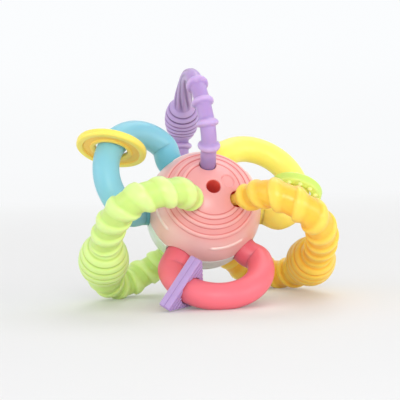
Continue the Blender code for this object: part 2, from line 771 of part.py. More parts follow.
def capsule_profile():
    """Half of the rattle's case: a thin cup with a flat that bears on the shell's sleeve."""
    flat = math.sqrt(CAPSULE_R ** 2 - CAPSULE_TOP ** 2)
    inside = CAPSULE_R - CAPSULE_WALL
    start = math.degrees(math.asin(flat / CAPSULE_R))
    outer = [(0.0, CAPSULE_TOP)]
    for i in range(6):
        angle = math.radians(start + (90.0 - start) * i / 6)
        outer.append((CAPSULE_R * math.sin(angle), CAPSULE_R * math.cos(angle)))
    rim = [(CAPSULE_R, FIT / 2), (inside, FIT / 2)]
    inner = []
    for i in range(1, 6):
        angle = math.radians(90.0 * (1.0 - i / 6))
        inner.append((inside * math.sin(angle), inside * math.cos(angle)))
    return outer + rim + inner + [(0.0, inside)]


rattle_upper = turned("rattle_case_upper", capsule_profile(), 24, "red_plastic", pose, False)
mirrored = [(r, -z) for r, z in reversed(capsule_profile())]
rattle_lower = turned("rattle_case_lower", mirrored, 24, "white_plastic", pose, False)


# Laying the toy on the table


def lowest(points, up):
    return min(points, key=up.dot)


def resting_up():
    """Upward direction when the toy stands on its lime, orange and red loops."""
    stands = [[v.co.copy() for v in loop.data.vertices] for loop in (lime_loop, orange_loop, red_loop)]
    up = Vector((-0.11, 0.86, 0.50)).normalized()
    for _ in range(40):
        first, second, third = (lowest(points, up) for points in stands)
        up = (second - first).cross(third - first).normalized()
        if up.dot(first) > 0.0:
            up.negate()
    return up, -up.dot(lowest(stands[0], up))


up_way, stand_height = resting_up()
pole_level = (POLE - up_way * POLE.dot(up_way)).normalized()
pole_side = up_way.cross(pole_level)
turn_to = math.radians(POLE_AZIMUTH)
row_x = pole_level * math.cos(turn_to) - pole_side * math.sin(turn_to)
row_y = pole_level * math.sin(turn_to) + pole_side * math.cos(turn_to)
standing = Matrix((row_x, row_y, up_way)).to_4x4()
pose.matrix_world = standing
bpy.context.view_layer.update()

graph = bpy.context.evaluated_depsgraph_get()
corners = []
for thing in parts.objects:
    if thing.type == "MESH":
        shown = thing.evaluated_get(graph).to_mesh()
        corners += [thing.matrix_world @ v.co for v in shown.vertices]
middle_x = (min(p.x for p in corners) + max(p.x for p in corners)) / 2.0
middle_y = (min(p.y for p in corners) + max(p.y for p in corners)) / 2.0
centre = Vector((-middle_x, -middle_y, stand_height - CONTACT_FLAT))
pose.matrix_world = Matrix.Translation(centre) @ standing


def build_table(shape):
    place = Matrix.Translation((0.0, 0.0, -0.1)) @ Matrix.Diagonal((0.5, 0.5, 0.2, 1.0))
    bmesh.ops.create_cube(shape, size=1.0, matrix=place)


table = cutter_mesh("table", build_table, None)
for loop in (lime_loop, orange_loop, red_loop):
    boolean(loop, table)

bead_path = CAPSULE_R - CAPSULE_WALL - BEAD_R - 2.0 * FIT
for index, colour in enumerate(("amber", "red_plastic", "white_plastic")):
    shift = BEAD_PLANE * (index - 1)
    joint = bpy.data.objects.new(f"bead_joint_{index + 1}", None)
    parts.objects.link(joint)
    joint.location = centre
    ball = bmesh.new()
    bmesh.ops.create_uvsphere(ball, u_segments=12, v_segments=8, radius=BEAD_R)
    bead_mesh = bpy.data.meshes.new(f"rattle_bead_{index + 1}")
    ball.to_mesh(bead_mesh)
    ball.free()
    bead = add_object(f"rattle_bead_{index + 1}", bead_mesh, colour, joint)
    bead.location = (shift, 0.0, -math.sqrt(bead_path ** 2 - shift ** 2))
bpy.context.view_layer.update()
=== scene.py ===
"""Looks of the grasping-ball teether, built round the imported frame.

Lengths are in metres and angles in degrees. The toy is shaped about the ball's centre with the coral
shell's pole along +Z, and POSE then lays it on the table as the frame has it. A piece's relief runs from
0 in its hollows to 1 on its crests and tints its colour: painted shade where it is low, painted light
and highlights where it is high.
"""
import math
from functools import partial

import bmesh
import bpy
import numpy as np
from mathutils import Matrix, Vector


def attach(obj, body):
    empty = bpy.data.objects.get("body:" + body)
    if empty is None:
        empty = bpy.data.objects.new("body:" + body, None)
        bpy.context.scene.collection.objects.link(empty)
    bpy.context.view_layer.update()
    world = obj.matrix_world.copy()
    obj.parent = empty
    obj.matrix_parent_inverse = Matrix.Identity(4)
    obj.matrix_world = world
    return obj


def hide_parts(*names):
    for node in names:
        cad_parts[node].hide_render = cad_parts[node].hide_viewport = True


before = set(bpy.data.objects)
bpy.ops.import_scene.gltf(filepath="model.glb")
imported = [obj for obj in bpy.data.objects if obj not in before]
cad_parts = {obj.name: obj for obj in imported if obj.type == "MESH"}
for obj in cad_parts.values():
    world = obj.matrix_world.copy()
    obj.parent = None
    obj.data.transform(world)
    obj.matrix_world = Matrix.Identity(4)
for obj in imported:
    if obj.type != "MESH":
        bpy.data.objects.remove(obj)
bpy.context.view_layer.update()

MM = 0.001
FIT = 0.3 * MM

# Ball
BALL_R = 27.0 * MM
BALL_IN = 25.0 * MM
SEAM_RISE = 2.2 * MM
RIM_ROUND = 0.25 * MM
RIDGE_ANGLES = (31.0, 40.5, 51.0)
RIDGE_H = 0.6 * MM
RIDGE_HALF = 2.3
SOUND_HOLE_R = 3.3 * MM
SOUND_HOLE_ROUND = 0.35 * MM
SOUND_HOLE_LIP = 0.4 * MM
SOUND_HOLE_LIP_H = 1.0 * MM
SLEEVE_R = 4.4 * MM
SLEEVE_END = 13.3 * MM
DASH_ANGLE = 65.0
DASH_FIRST = 292.5
DASH_SPAN = 35.0
DASH_COUNT = 4
DASH_H = 0.55 * MM
DASH_HALF = 1.7
DIMPLE_ANGLE = 17.0
DIMPLE_AZIMUTH = 29.0
DIMPLE_R = 3.2 * MM
DIMPLE_DEPTH = 0.5 * MM
DIMPLE_SLOPE = 0.35 * MM
DIMPLE_LIP = 0.1 * MM
HOLE_POLAR = 27.0
NECK_HOLE_FLARE = 0.25 * MM
NECK_HOLE_LOW = BALL_IN - 2.0 * MM
LEG_HOLE_FLARE = 0.2 * MM
LEG_HOLE_LOW = BALL_IN - 6.0 * MM
HOLE_OVER = 4.0 * MM
HOLE_SIDES = 72
SHELL_SHARP = 60.0
CUT_SHARP = 40.0

# Mesh of the shells, in finer steps from the pole where there are ridges and dashes
SHELL_COLUMNS = 216
RIDGE_BAND = (28.9, 53.2)
DASH_BAND = (62.6, 67.4)
POLE_STEP = 0.8
RIDGE_STEP = 0.28
PLAIN_STEP = 0.9
DASH_STEP = 0.3
RIM_STEP = 0.5
UPPER_LINING_FROM = 83.0
LOWER_LINING_FROM = 93.0
LINING_TO = 11.0
LINING_STEP = 5.0

# Relief of the shells, which tints them: painted highlights on the ridges and dashes, a painted reflection
# of the pale floor towards the seam, and painted shade at the ridges' feet and the dimple's edge
PLAIN_RELIEF = 0.5
DASH_ZONE = 58.0
DASH_LIGHT = 0.45
RIDGE_LIGHT = 0.1
# painted reflection of the pale floor: the shells grow paler from the ridges to the seam
SEAM_ZONE = (46.0, 64.0)
SEAM_REFLECTION = 0.27
# painted shade along the feet of the ridges
RIDGE_FOOT = 0.7
RIDGE_FOOT_DARK = 0.4
# painted shade round the edge of the dimple
DIMPLE_DARK = 0.2
LINING_DEPTH = 1.05 * DIMPLE_DEPTH

# Ends and arches of the textured loops, whose heads bear on washers inside the ball
NECK_R = 3.5 * MM
WASHER_R = 5.0 * MM
WASHER_T = 1.5 * MM
HEAD_R = 4.4 * MM
HEAD_L = 2.1 * MM
HEAD_OUT = math.sqrt((BALL_IN - FIT) ** 2 - WASHER_R ** 2) - WASHER_T - FIT
HEAD_CHAMFER = 0.6 * MM
HEAD_ROW = 0.5 * MM
STEP_W = 0.1 * MM
ROOT_STRAIGHT = 1.5 * MM
ROOT_AXIS = 12.0 * MM
SQUARENESS = 2.6
ARCH_START = -48.0
ARCH_POINTS = 900
ARCH_LEG_POINTS = 120
LOOP_SIDES = 48
CANE_SIDES = 96
LOOP_STEP = 0.5 * MM

# Bulbs and their grooves
BULB_FULLNESS = 0.9
GROOVE_HALF = 0.42
GROOVE_SHARPNESS = 1.3
GROOVE_FADE = (0.76, 0.84)

# Lime and orange loops: the crest of the helical ridge starts at a share of its wave
ROPE_ROOT_R = 2.7 * MM
ROPE_NECK_R = 5.2 * MM
ROPE_CORE_R = 6.4 * MM
ROPE_TAIL_R = 5.0 * MM
ROPE_RIDGE = 1.2 * MM
ROPE_PITCH = 9.9 * MM
ROPE_SKEW = 0.55
LIME_CREST_FROM = 0.45
ORANGE_CREST_FROM = 0.55
ROPE_CREST_FULL = 0.97
ROPE_GROOVE_PITCH = 3.8 * MM
ROPE_BLEND = 5.0 * MM
ROPE_TAPER = 25.0 * MM
ROPE_RIDGE_FADE = (0.3 * ROPE_BLEND, 1.3 * ROPE_BLEND)
BULB_R = 11.7 * MM
BULB_BEFORE = 17.5 * MM
BULB_AFTER = 12.2 * MM
BULB_CLEAR = 0.7 * BULB_BEFORE
BULB_CONE = 1.4 * MM
BULB_CONE_L = 16.0 * MM
GROOVE_DEPTH = 0.6 * MM
# Relief of the lime and orange loops: painted highlights on the ridge's crests and painted shade between
# them
ROPE_RELIEF = 0.55
ROPE_CREST_MIDDLE = 0.45
ROPE_CREST_LIGHT = 0.4
# painted light at the ends, against the shade in the shell's holes
ROPE_ROOT_LIGHT = 0.35
# painted light on the bulbs and painted shade in their grooves
BULB_RELIEF = 0.75
BULB_GROOVE_DARK = 0.8

# Lilac loop
CANE_R = 3.6 * MM
CANE_BLEND = 3.0 * MM
COLLAR_R = 5.2 * MM
COLLAR_PITCH = 10.4 * MM
COLLAR_COUNT = 4
COLLAR_HALF = 1.5 * MM
COLLAR_BEHIND = 1.3 * COLLAR_HALF
# painted highlights on the collars and painted shade at their feet
COLLAR_LIGHT = 0.45
COLLAR_FOOT_AT = 1.15 * COLLAR_HALF
COLLAR_FOOT = 0.5 * MM
COLLAR_FOOT_DARK = 0.3
FLUTE_DEPTH = 0.3 * MM
FLUTE_DEEPENS = 0.45 * MM
FLUTE_COUNT = 8
FLUTE_L = 26.0 * MM
FLUTE_TWIST = 26.0 * MM
FLUTE_THICK = 1.0 * MM
FLUTE_GAP = 5.0 * MM
FLUTE_FADE = 12.0 * MM
FLUTE_INTO_BULB = 3.0 * MM
FLUTE_BEFORE_BULB = 4.0 * MM
# painted shade in the flutes
FLUTE_DARK = 0.33
# painted shade near the ball, over this span from the end
CANE_ROOT = (1.0 * MM, 8.0 * MM)
CANE_ROOT_DARK = 0.25
CANE_BULB_R = 8.5 * MM
CANE_BULB_HALF = 13.0 * MM
CANE_GROOVE_PITCH = 3.3 * MM
CANE_GROOVE_DEPTH = 0.8 * MM
# painted light on the bulb and painted shade in its grooves
CANE_BULB_RELIEF = 0.8
CANE_GROOVE_DARK = 0.9
CANE_GROOVE_WIDE = 1.7

# Smooth loops, whose flanges bear on the inside of the ball
SMOOTH_R = 6.2 * MM
SMOOTH_ARC_R = 20.8 * MM
SMOOTH_ARC_END = 95.0
SMOOTH_ARC_POINTS = 241
SMOOTH_LEG_POINTS = 60
SMOOTH_STEP = 0.6 * MM
FLANGE_R = 7.6 * MM
FLANGE_T = 1.9 * MM
FLANGE_OUT = math.sqrt((BALL_IN - FIT) ** 2 - FLANGE_R ** 2)
# painted shade on the smooth loops near the ball
SMOOTH_ROOT = (4.0 * MM, 16.0 * MM)
SMOOTH_ROOT_DARK = 0.25

# Loose rings
RING_BORE = 7.4 * MM
BORE_FLAT = 0.15
BORE_STEPS = 6
DISC_SHARP = 35.0
DISC_R = 16.4 * MM
DISC_T = 3.2 * MM
DISC_WEB_DROP = 0.7 * MM
DISC_RIM_W = 3.0 * MM
DISC_HUB_W = 2.4 * MM
DISC_STEP = 0.1 * MM
DISC_SLOPE = 0.4 * MM
DISC_BEVEL = 0.15 * MM
DISC_EDGE = 0.9 * MM
DISC_STEPS = 160
# painted light on the rim and painted shade on the sunk web
DISC_RIM_RELIEF = 0.75
DISC_WEB_RELIEF = 0.25
STUD_DISC_R = 12.6 * MM
STUD_DISC_T = 4.4 * MM
STUD_DISC_EDGE = 1.0 * MM
STUD_DISC_STEPS = 144
STUD_R = 1.25 * MM
STUD_COUNT = 12
STUD_SEGMENTS = 20
STUD_RINGS = 12
STUD_IN = 1.9 * STUD_R
STUD_SINK = 0.2 * MM
STUD_TURN = 0.25
# painted highlights on the studs, with the faces a little darker
STUD_DISC_RELIEF = 0.45
STUD_LIGHT = 0.5
EDGE_STEPS = 5
TRIANGLE_BORE = 6.7 * MM
TRIANGLE_SIDE = 29.2 * MM
TRIANGLE_T = 5.6 * MM
TRIANGLE_CORNER_R = 1.6 * MM
TRIANGLE_RIDGE_PITCH = 2.2 * MM
TRIANGLE_RIDGE_H = 1.0 * MM
TRIANGLE_CREST_W = 0.5 * TRIANGLE_RIDGE_PITCH
TRIANGLE_VALLEY_AT = 0.75 * TRIANGLE_RIDGE_PITCH
TRIANGLE_EDGE_IN = 0.1 * MM
TRIANGLE_EDGE_GROOVE = 0.3 * MM
TRIANGLE_EDGE_ZONE = TRIANGLE_EDGE_GROOVE + 0.05 * MM
TRIANGLE_NOTCH_HALF = 0.4 * TRIANGLE_EDGE_GROOVE
TRIANGLE_IN = TRIANGLE_SIDE / (2.0 * math.sqrt(3.0))
TRIANGLE_BORE_SIDES = 96
TRIANGLE_CORNER_STEPS = 12
TRIANGLE_SOFTEN = 0.18 * MM
TRIANGLE_SOFTEN_FROM = 28.0
# painted shade in the washboard's valleys and the edge's notch, painted light on the edge face
TRIANGLE_VALLEY_DARK = 0.6
TRIANGLE_EDGE_RELIEF = 0.6
TRIANGLE_NOTCH_RELIEF = 0.25

# Places of the rings on their arcs, and how far and to which side the discs lean
DISC_AT = -2.0
STUD_DISC_AT = -34.0
DISC_LEAN = (18.0, 180.0)
STUD_DISC_LEAN = (19.0, -40.0)
LEAN_SHIFT = 0.25 * MM
TRIANGLE_AT = -55.0
TRIANGLE_TURN = 307.0

# name: azimuth, arch centre, half width, half height, shear, lean at coral end, lean at mint end,
# and degrees on the arch to the bulb
TEXTURED = {
    "lilac_loop": (100.0, 38.9 * MM, 25.1 * MM, 40.1 * MM, -0.11, 3.0, -7.7, 130.0),
    "lime_loop": (220.0, 31.2 * MM, 21.3 * MM, 41.8 * MM, 0.02, -23.5, -6.0, 100.0),
    "orange_loop": (340.0, 35.7 * MM, 20.9 * MM, 46.0 * MM, -0.02, -5.8, 9.7, 106.0),
}
# name: azimuth, swing, arc centre beyond the ball, lean towards the pole, roll,
# and degrees each way to a root
SMOOTH = {
    "yellow_loop": (40.0, -6.6, 4.1 * MM, -16.8, -6.2, 36.0),
    "blue_loop": (155.0, -1.1, 5.6 * MM, 25.7, 6.7, 31.0),
    "red_loop": (280.0, 1.2, 3.0 * MM, 29.0, 1.0, 36.0),
}

# Grain, gloss and depth of all materials
MOTTLE_SCALE = 70.0
MOTTLE_DETAIL = 4.0
MOTTLE = 0.05
POLISH_SCALE = 240.0
POLISH_DETAIL = 3.0
POLISH = 0.03
GRAIN_SCALE = 1400.0
GRAIN_DETAIL = 5.0
GRAIN_STRENGTH = 0.12
GRAIN_DEPTH = 0.1 * MM
SOFT_REACH = (1.0, 0.6, 0.45)
SOFT_DEPTH = 6.0 * MM
SPECULAR = 0.4
COAT_ROUGHNESS = 0.3

# Colours on the plain surface, with painted shade in hollows and painted light on crests, then roughness,
# softness and, if any, gloss
LOOKS = {
    "coral_shell": ((0.88, 0.37, 0.36), (0.64, 0.065, 0.06), (0.96, 0.71, 0.66), 0.32, 0.2, 0.3),
    "mint_shell": ((0.76, 0.91, 0.82), (0.55, 0.74, 0.63), (0.85, 0.94, 0.88), 0.32, 0.15, 0.3),
    "lilac_soft": ((0.455, 0.305, 0.61), (0.15, 0.075, 0.22), (0.57, 0.42, 0.73), 0.31, 0.45),
    "lime_soft": ((0.66, 0.86, 0.255), (0.43, 0.62, 0.10), (0.72, 0.91, 0.37), 0.31, 0.55),
    "orange_soft": ((1.0, 0.61, 0.07), (1.0, 0.46, 0.02), (1.0, 0.73, 0.14), 0.31, 0.55),
    "yellow_soft": ((1.0, 0.85, 0.17), (1.0, 0.81, 0.10), (1.0, 0.90, 0.28), 0.36, 0.55),
    "blue_soft": ((0.25, 0.59, 0.70), (0.05, 0.39, 0.50), (0.37, 0.68, 0.79), 0.36, 0.4),
    "red_soft": ((0.88, 0.18, 0.23), (0.72, 0.10, 0.14), (0.92, 0.27, 0.33), 0.40, 0.4),
    "amber_ring": ((1.0, 0.67, 0.12), (0.97, 0.55, 0.07), (1.0, 0.88, 0.17), 0.36, 0.45),
    "lime_ring": ((0.76, 0.94, 0.26), (0.58, 0.80, 0.15), (0.92, 1.0, 0.48), 0.32, 0.3),
    "purple_ring": ((0.46, 0.31, 0.62), (0.25, 0.12, 0.34), (0.59, 0.43, 0.74), 0.36, 0.25),
    "coral_inside": ((1.0, 0.19, 0.15), (0.8, 0.05, 0.05), (1.0, 0.2, 0.2), 0.4, 0.1),
    "red_plastic": ((1.0, 0.13, 0.12), (0.7, 0.03, 0.03), (1.0, 0.15, 0.14), 0.35, 0.05),
    "white_plastic": ((0.84, 0.84, 0.82), (0.7, 0.7, 0.68), (0.9, 0.9, 0.88), 0.4, 0.05),
    "amber_bead": ((0.95, 0.54, 0.09), (0.8, 0.4, 0.05), (1.0, 0.7, 0.2), 0.35, 0.05),
}

# Floor and backdrop: floor from near to far, bend, back wall, and how they brighten with distance
SWEEP_FLOOR = (-2.5, -0.3, 0.0, 0.3, 0.7)
SWEEP_BEND = 0.9
SWEEP_BACK = 2.2
SWEEP_TOP = 3.0
SWEEP_HALF = 4.0
SWEEP_STEPS = 24
FLOOR_FADE = (-0.1, 0.9)
WALL_FADE = (0.0, 0.16)
FLOOR_SHARE = 0.6
PAPER_COLOUR = (0.845, 0.84, 0.835)
PAPER_ROUGHNESS = 0.7
PAPER_SPECULAR = 0.2
PAPER_NEAR = (0.855, 0.845, 0.83)
PAPER_HAZE = (0.945, 0.955, 0.965)
PAPER_FAR = (0.965, 0.978, 0.99)
PAPER_HAZE_AT = 0.6
GLOW_LEAST = 0.12
GLOW_FULL_AT = 0.5

# name: metres right of the toy, nearer than it and above the floor, then size and watts
LAMPS = {
    "top": (0.3, -0.5, 1.1, (0.9, 0.7), 3.9),
    "front": (0.1, 1.2, 0.45, (0.46, 0.34), 5.0),
    "right": (1.2, 0.65, 0.25, (0.8, 0.4), 4.2),
    "left": (-1.2, 0.35, 0.35, (0.8, 0.6), 2.7),
}
LAMP_AIM_H = 0.05
SKY_COLOUR = (0.96, 0.975, 1.0)
SKY_STRENGTH = 0.74

# Camera: the photograph's right and up as the ball has them, then, in the photograph's pixels, its width,
# the ball's radius, the camera's distance and the ball's place from the middle
RIGHT_WAY = Vector((0.984, 0.0, 0.178))
UP_WAY = Vector((-0.076, 0.904, 0.420))
PHOTO_PIXELS = 400.0
BALL_R_PIXELS = 57.8
CAMERA_PIXELS = 1700.0
BALL_PIXEL = (3.0, -10.5)
PIXEL = BALL_R / BALL_R_PIXELS
SENSOR_W = 36.0
CLIP_START = 0.05

# How the toy lies in the frame: up seen from the ball, the pole's compass direction, the ball's centre
UP = Vector((-0.1182545, 0.870545, 0.4776685)).normalized()
POLE_AZIMUTH = -83.0
CENTRE = Vector((-2.0549 * MM, -5.9738 * MM, 42.2535 * MM))
POLE = Vector((0.0, 0.0, 1.0))
level = (POLE - UP * POLE.dot(UP)).normalized()
across_pole = UP.cross(level)
pole_turn = math.radians(POLE_AZIMUTH)
row_x = level * math.cos(pole_turn) - across_pole * math.sin(pole_turn)
row_y = level * math.sin(pole_turn) + across_pole * math.cos(pole_turn)
TURN = Matrix((row_x, row_y, UP))
POSE = Matrix.Translation(CENTRE) @ TURN.to_4x4()

# Directions and curves


def compass(azimuth):
    """Level way at an azimuth."""
    angle = math.radians(azimuth)
    return np.array((math.cos(angle), math.sin(angle), 0.0))


def from_pole(polar, azimuth):
    """Way at an angle from the pole and an azimuth."""
    angle = math.radians(polar)
    return compass(azimuth) * math.sin(angle) + np.array((0.0, 0.0, math.cos(angle)))


def unit(vectors):
    """Vectors brought to length one."""
    return vectors / np.linalg.norm(vectors, axis=-1, keepdims=True)


def ease(low, high, value):
    """Smooth step from 0 at a low value to 1 at a high one."""
    part = np.clip((value - low) / (high - low), 0.0, 1.0)
    return part * part * (3.0 - 2.0 * part)


def hermite(start, start_way, end, end_way, count):
    """Points of a curve that leaves one place and reaches another along given ways."""
    pull = np.linalg.norm(end - start)
    t = np.linspace(0.0, 1.0, count + 1)[:, None]
    line = start * (2 * t ** 3 - 3 * t ** 2 + 1) + start_way * pull * (t ** 3 - 2 * t ** 2 + t)
    return line + end * (3 * t ** 2 - 2 * t ** 3) + end_way * pull * (t ** 3 - t ** 2)


def places_along(line, step):
    """Places of a line's points along it, and evenly spaced places about a step apart."""
    gaps = np.linalg.norm(np.diff(line, axis=0), axis=1)
    places = np.concatenate(([0.0], np.cumsum(gaps)))
    wanted = np.linspace(0.0, places[-1], int(round(places[-1] / step)) + 1)
    return places, wanted


def points_at(line, places, wanted):
    """Points of a line at wanted places along it."""
    return np.stack([np.interp(wanted, places, line[:, k]) for k in range(3)], axis=1)


# Meshes


def linked(name, data):
    """A new object in the scene."""
    thing = bpy.data.objects.new(name, data)
    bpy.context.scene.collection.objects.link(thing)
    return thing


def set_relief(thing, values):
    """Stores a relief, one value for each vertex."""
    layer = thing.data.attributes.new("relief", "FLOAT", "POINT")
    layer.data.foreach_set("value", np.asarray(values, np.float32))


def mesh_object(name, points, faces, relief=None):
    """A smooth-shaded mesh, with its relief if that is known."""
    mesh = bpy.data.meshes.new(name)
    mesh.from_pydata([tuple(p) for p in points], [], faces)
    mesh.update()
    mesh.shade_smooth()
    thing = linked(name, mesh)
    if relief is not None:
        set_relief(thing, relief)
    return thing


def from_bmesh(name, shape):
    """An object of a finished bmesh, which is freed."""
    mesh = bpy.data.meshes.new(name)
    shape.to_mesh(mesh)
    shape.free()
    return linked(name, mesh)


def grid_faces(rows, columns, closed_rows=False):
    """Faces between rows of points, each row closed, and the last row joined to the first if asked."""
    faces = []
    for row in range(rows if closed_rows else rows - 1):
        here = row * columns
        there = (row + 1) % rows * columns
        for i in range(columns):
            j = (i + 1) % columns
            faces.append((here + i, here + j, there + j, there + i))
    return faces


def tube(name, points, relief):
    """A closed tube from rows of points round a line."""
    rows, columns = points.shape[:2]
    faces = grid_faces(rows, columns)
    faces.append(tuple(reversed(range(columns))))
    faces.append(tuple((rows - 1) * columns + i for i in range(columns)))
    return mesh_object(name, points.reshape(-1, 3), faces, relief.reshape(-1))


def turned(name, profile, steps):
    """A body turned about Z from a closed line of (radius, height) points."""
    ring = np.array(profile)
    angles = np.linspace(0.0, math.tau, steps, endpoint=False)
    x = ring[:, 0][:, None] * np.cos(angles)
    y = ring[:, 0][:, None] * np.sin(angles)
    z = np.repeat(ring[:, 1][:, None], steps, axis=1)
    points = np.stack((x, y, z), axis=-1).reshape(-1, 3)
    return mesh_object(name, points, grid_faces(len(ring), steps, True))


def thick_face(name, outline, thickness):
    """A flat outline thickened to both sides."""
    piece = mesh_object(name, outline, [tuple(range(len(outline)))])
    plate = piece.modifiers.new("thickness", "SOLIDIFY")
    plate.thickness = thickness
    plate.offset = 0.0
    return piece


def boolean(target, helper, operation="DIFFERENCE"):
    """Joins a helper to a target by a modifier, and gives the helper back."""
    cut = target.modifiers.new(operation.lower(), "BOOLEAN")
    cut.operation = operation
    cut.solver = "EXACT"
    cut.object = helper
    return helper


def settle(thing, helpers):
    """Applies a thing's modifiers and removes the helpers that they used."""
    bpy.context.view_layer.update()
    graph = bpy.context.evaluated_depsgraph_get()
    mesh = bpy.data.meshes.new_from_object(thing.evaluated_get(graph))
    thing.modifiers.clear()
    thing.data = mesh
    for helper in helpers:
        bpy.data.objects.remove(helper, do_unlink=True)


def sharpen(thing, degrees):
    """Smooth shading, broken where faces meet at more than an angle."""
    shape = bmesh.new()
    shape.from_mesh(thing.data)
    bmesh.ops.recalc_face_normals(shape, faces=shape.faces)
    for face in shape.faces:
        face.smooth = True
    for edge in shape.edges:
        edge.smooth = edge.calc_face_angle(0.0) < math.radians(degrees)
    shape.to_mesh(thing.data)
    shape.free()


def vertices_of(thing):
    """Places of a mesh's vertices."""
    places = np.zeros(len(thing.data.vertices) * 3, np.float32)
    thing.data.vertices.foreach_get("co", places)
    return places.reshape(-1, 3).astype(float)


# Materials


def noise(tree, scale, detail):
    """Noise in a piece's own space."""
    place = tree.nodes.new("ShaderNodeTexCoord")
    texture = tree.nodes.new("ShaderNodeTexNoise")
    texture.inputs["Scale"].default_value = scale
    texture.inputs["Detail"].default_value = detail
    tree.links.new(place.outputs["Object"], texture.inputs["Vector"])
    return texture.outputs["Fac"]


def spread(tree, value, low, high, full_at=1.0):
    """A value's run from 0 to where it is full, brought between a low and a high one."""
    ranged = tree.nodes.new("ShaderNodeMapRange")
    ranged.inputs["From Max"].default_value = full_at
    ranged.inputs["To Min"].default_value = low
    ranged.inputs["To Max"].default_value = high
    tree.links.new(value, ranged.inputs["Value"])
    return ranged.outputs["Result"]


def combined(tree, operation, first, second):
    """Two values put together by a maths node."""
    maths = tree.nodes.new("ShaderNodeMath")
    maths.operation = operation
    tree.links.new(first, maths.inputs[0])
    tree.links.new(second, maths.inputs[1])
    return maths.outputs["Value"]


def relief_tint(tree, low, middle, high, middle_at):
    """A mesh's relief, and the colour that follows it; on the toy's pieces this colour is painted shade and
    light.
    """
    relief = tree.nodes.new("ShaderNodeAttribute")
    relief.attribute_name = "relief"
    tint = tree.nodes.new("ShaderNodeValToRGB")
    tint.color_ramp.elements[0].color = (*low, 1.0)
    tint.color_ramp.elements[1].color = (*high, 1.0)
    stop = tint.color_ramp.elements.new(middle_at)
    stop.color = (*middle, 1.0)
    tree.links.new(relief.outputs["Fac"], tint.inputs["Fac"])
    return relief.outputs["Fac"], tint.outputs["Color"]


def moulded(name, colour, painted_shade, painted_light, roughness, soft, gloss=0.0):
    """Moulded plastic or elastomer: painted shade in hollows, painted light on crests, mottled, finely
    grained.
    """
    made = bpy.data.materials.new(name)
    made.use_nodes = True
    tree = made.node_tree
    shader = tree.nodes["Principled BSDF"]
    # painted shade and painted light: the relief picks between the hollow, plain and crest colours
    tint = relief_tint(tree, painted_shade, colour, painted_light, PLAIN_RELIEF)[1]
    mottle = noise(tree, MOTTLE_SCALE, MOTTLE_DETAIL)
    mix = tree.nodes.new("ShaderNodeVectorMath")
    mix.operation = "SCALE"
    tree.links.new(tint, mix.inputs[0])
    tree.links.new(spread(tree, mottle, 1.0 - MOTTLE, 1.0 + MOTTLE), mix.inputs["Scale"])
    tree.links.new(mix.outputs["Vector"], shader.inputs["Base Color"])
    polish = noise(tree, POLISH_SCALE, POLISH_DETAIL)
    rough = spread(tree, polish, roughness - POLISH, roughness + POLISH)
    tree.links.new(rough, shader.inputs["Roughness"])
    bump = tree.nodes.new("ShaderNodeBump")
    bump.inputs["Strength"].default_value = GRAIN_STRENGTH
    bump.inputs["Distance"].default_value = GRAIN_DEPTH
    tree.links.new(noise(tree, GRAIN_SCALE, GRAIN_DETAIL), bump.inputs["Height"])
    tree.links.new(bump.outputs["Normal"], shader.inputs["Normal"])
    shader.inputs["Subsurface Weight"].default_value = soft
    shader.inputs["Subsurface Radius"].default_value = SOFT_REACH
    shader.inputs["Subsurface Scale"].default_value = SOFT_DEPTH
    shader.inputs["Specular IOR Level"].default_value = SPECULAR
    shader.inputs["Coat Weight"].default_value = gloss
    shader.inputs["Coat Roughness"].default_value = COAT_ROUGHNESS
    return made


MATERIALS = {name: moulded(name, *look) for name, look in LOOKS.items()}


def wear(piece, look, body, node):
    """Gives a piece its material and slot and its body, and hides the frame node that it stands for."""
    piece.data.materials.clear()
    piece.data.materials.append(MATERIALS[look])
    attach(piece, body)
    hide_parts(node)


# Ball shells


def ridge_lift(polar):
    """Height of the turned ridges at an angle from the pole."""
    lift = np.zeros_like(polar)
    for ridge in RIDGE_ANGLES:
        near = np.clip(np.abs(polar - ridge) / RIDGE_HALF, 0.0, 1.0)
        lift = np.maximum(lift, RIDGE_H * (1.0 - near ** 3))
    return lift


def dash_lift(polar, azimuth):
    """Height of the broken ring of dashes."""
    lift = np.zeros_like(polar)
    for index in range(DASH_COUNT):
        middle = DASH_FIRST + index * 360.0 / DASH_COUNT
        swing = (azimuth - middle + 180.0) % 360.0 - 180.0
        along = np.maximum(np.abs(swing) - DASH_SPAN / 2.0, 0.0) * math.sin(math.radians(DASH_ANGLE))
        far = np.sqrt(along ** 2 + (polar - DASH_ANGLE) ** 2) / DASH_HALF
        lift = np.maximum(lift, DASH_H * np.sqrt(np.clip(1.0 - far ** 2, 0.0, 1.0)))
    return lift


def dimple_lift(polar, azimuth):
    """Depth of the round dimple, as a height below zero."""
    ways = np.stack((
        np.sin(np.radians(polar)) * np.cos(np.radians(azimuth)),
        np.sin(np.radians(polar)) * np.sin(np.radians(azimuth)),
        np.cos(np.radians(polar)),
    ), axis=-1)
    middle = from_pole(DIMPLE_ANGLE, DIMPLE_AZIMUTH)
    away = np.arccos(np.clip(ways @ middle, -1.0, 1.0)) * BALL_R
    return -DIMPLE_DEPTH * (1.0 - ease(DIMPLE_R - DIMPLE_SLOPE, DIMPLE_R + DIMPLE_LIP, away))


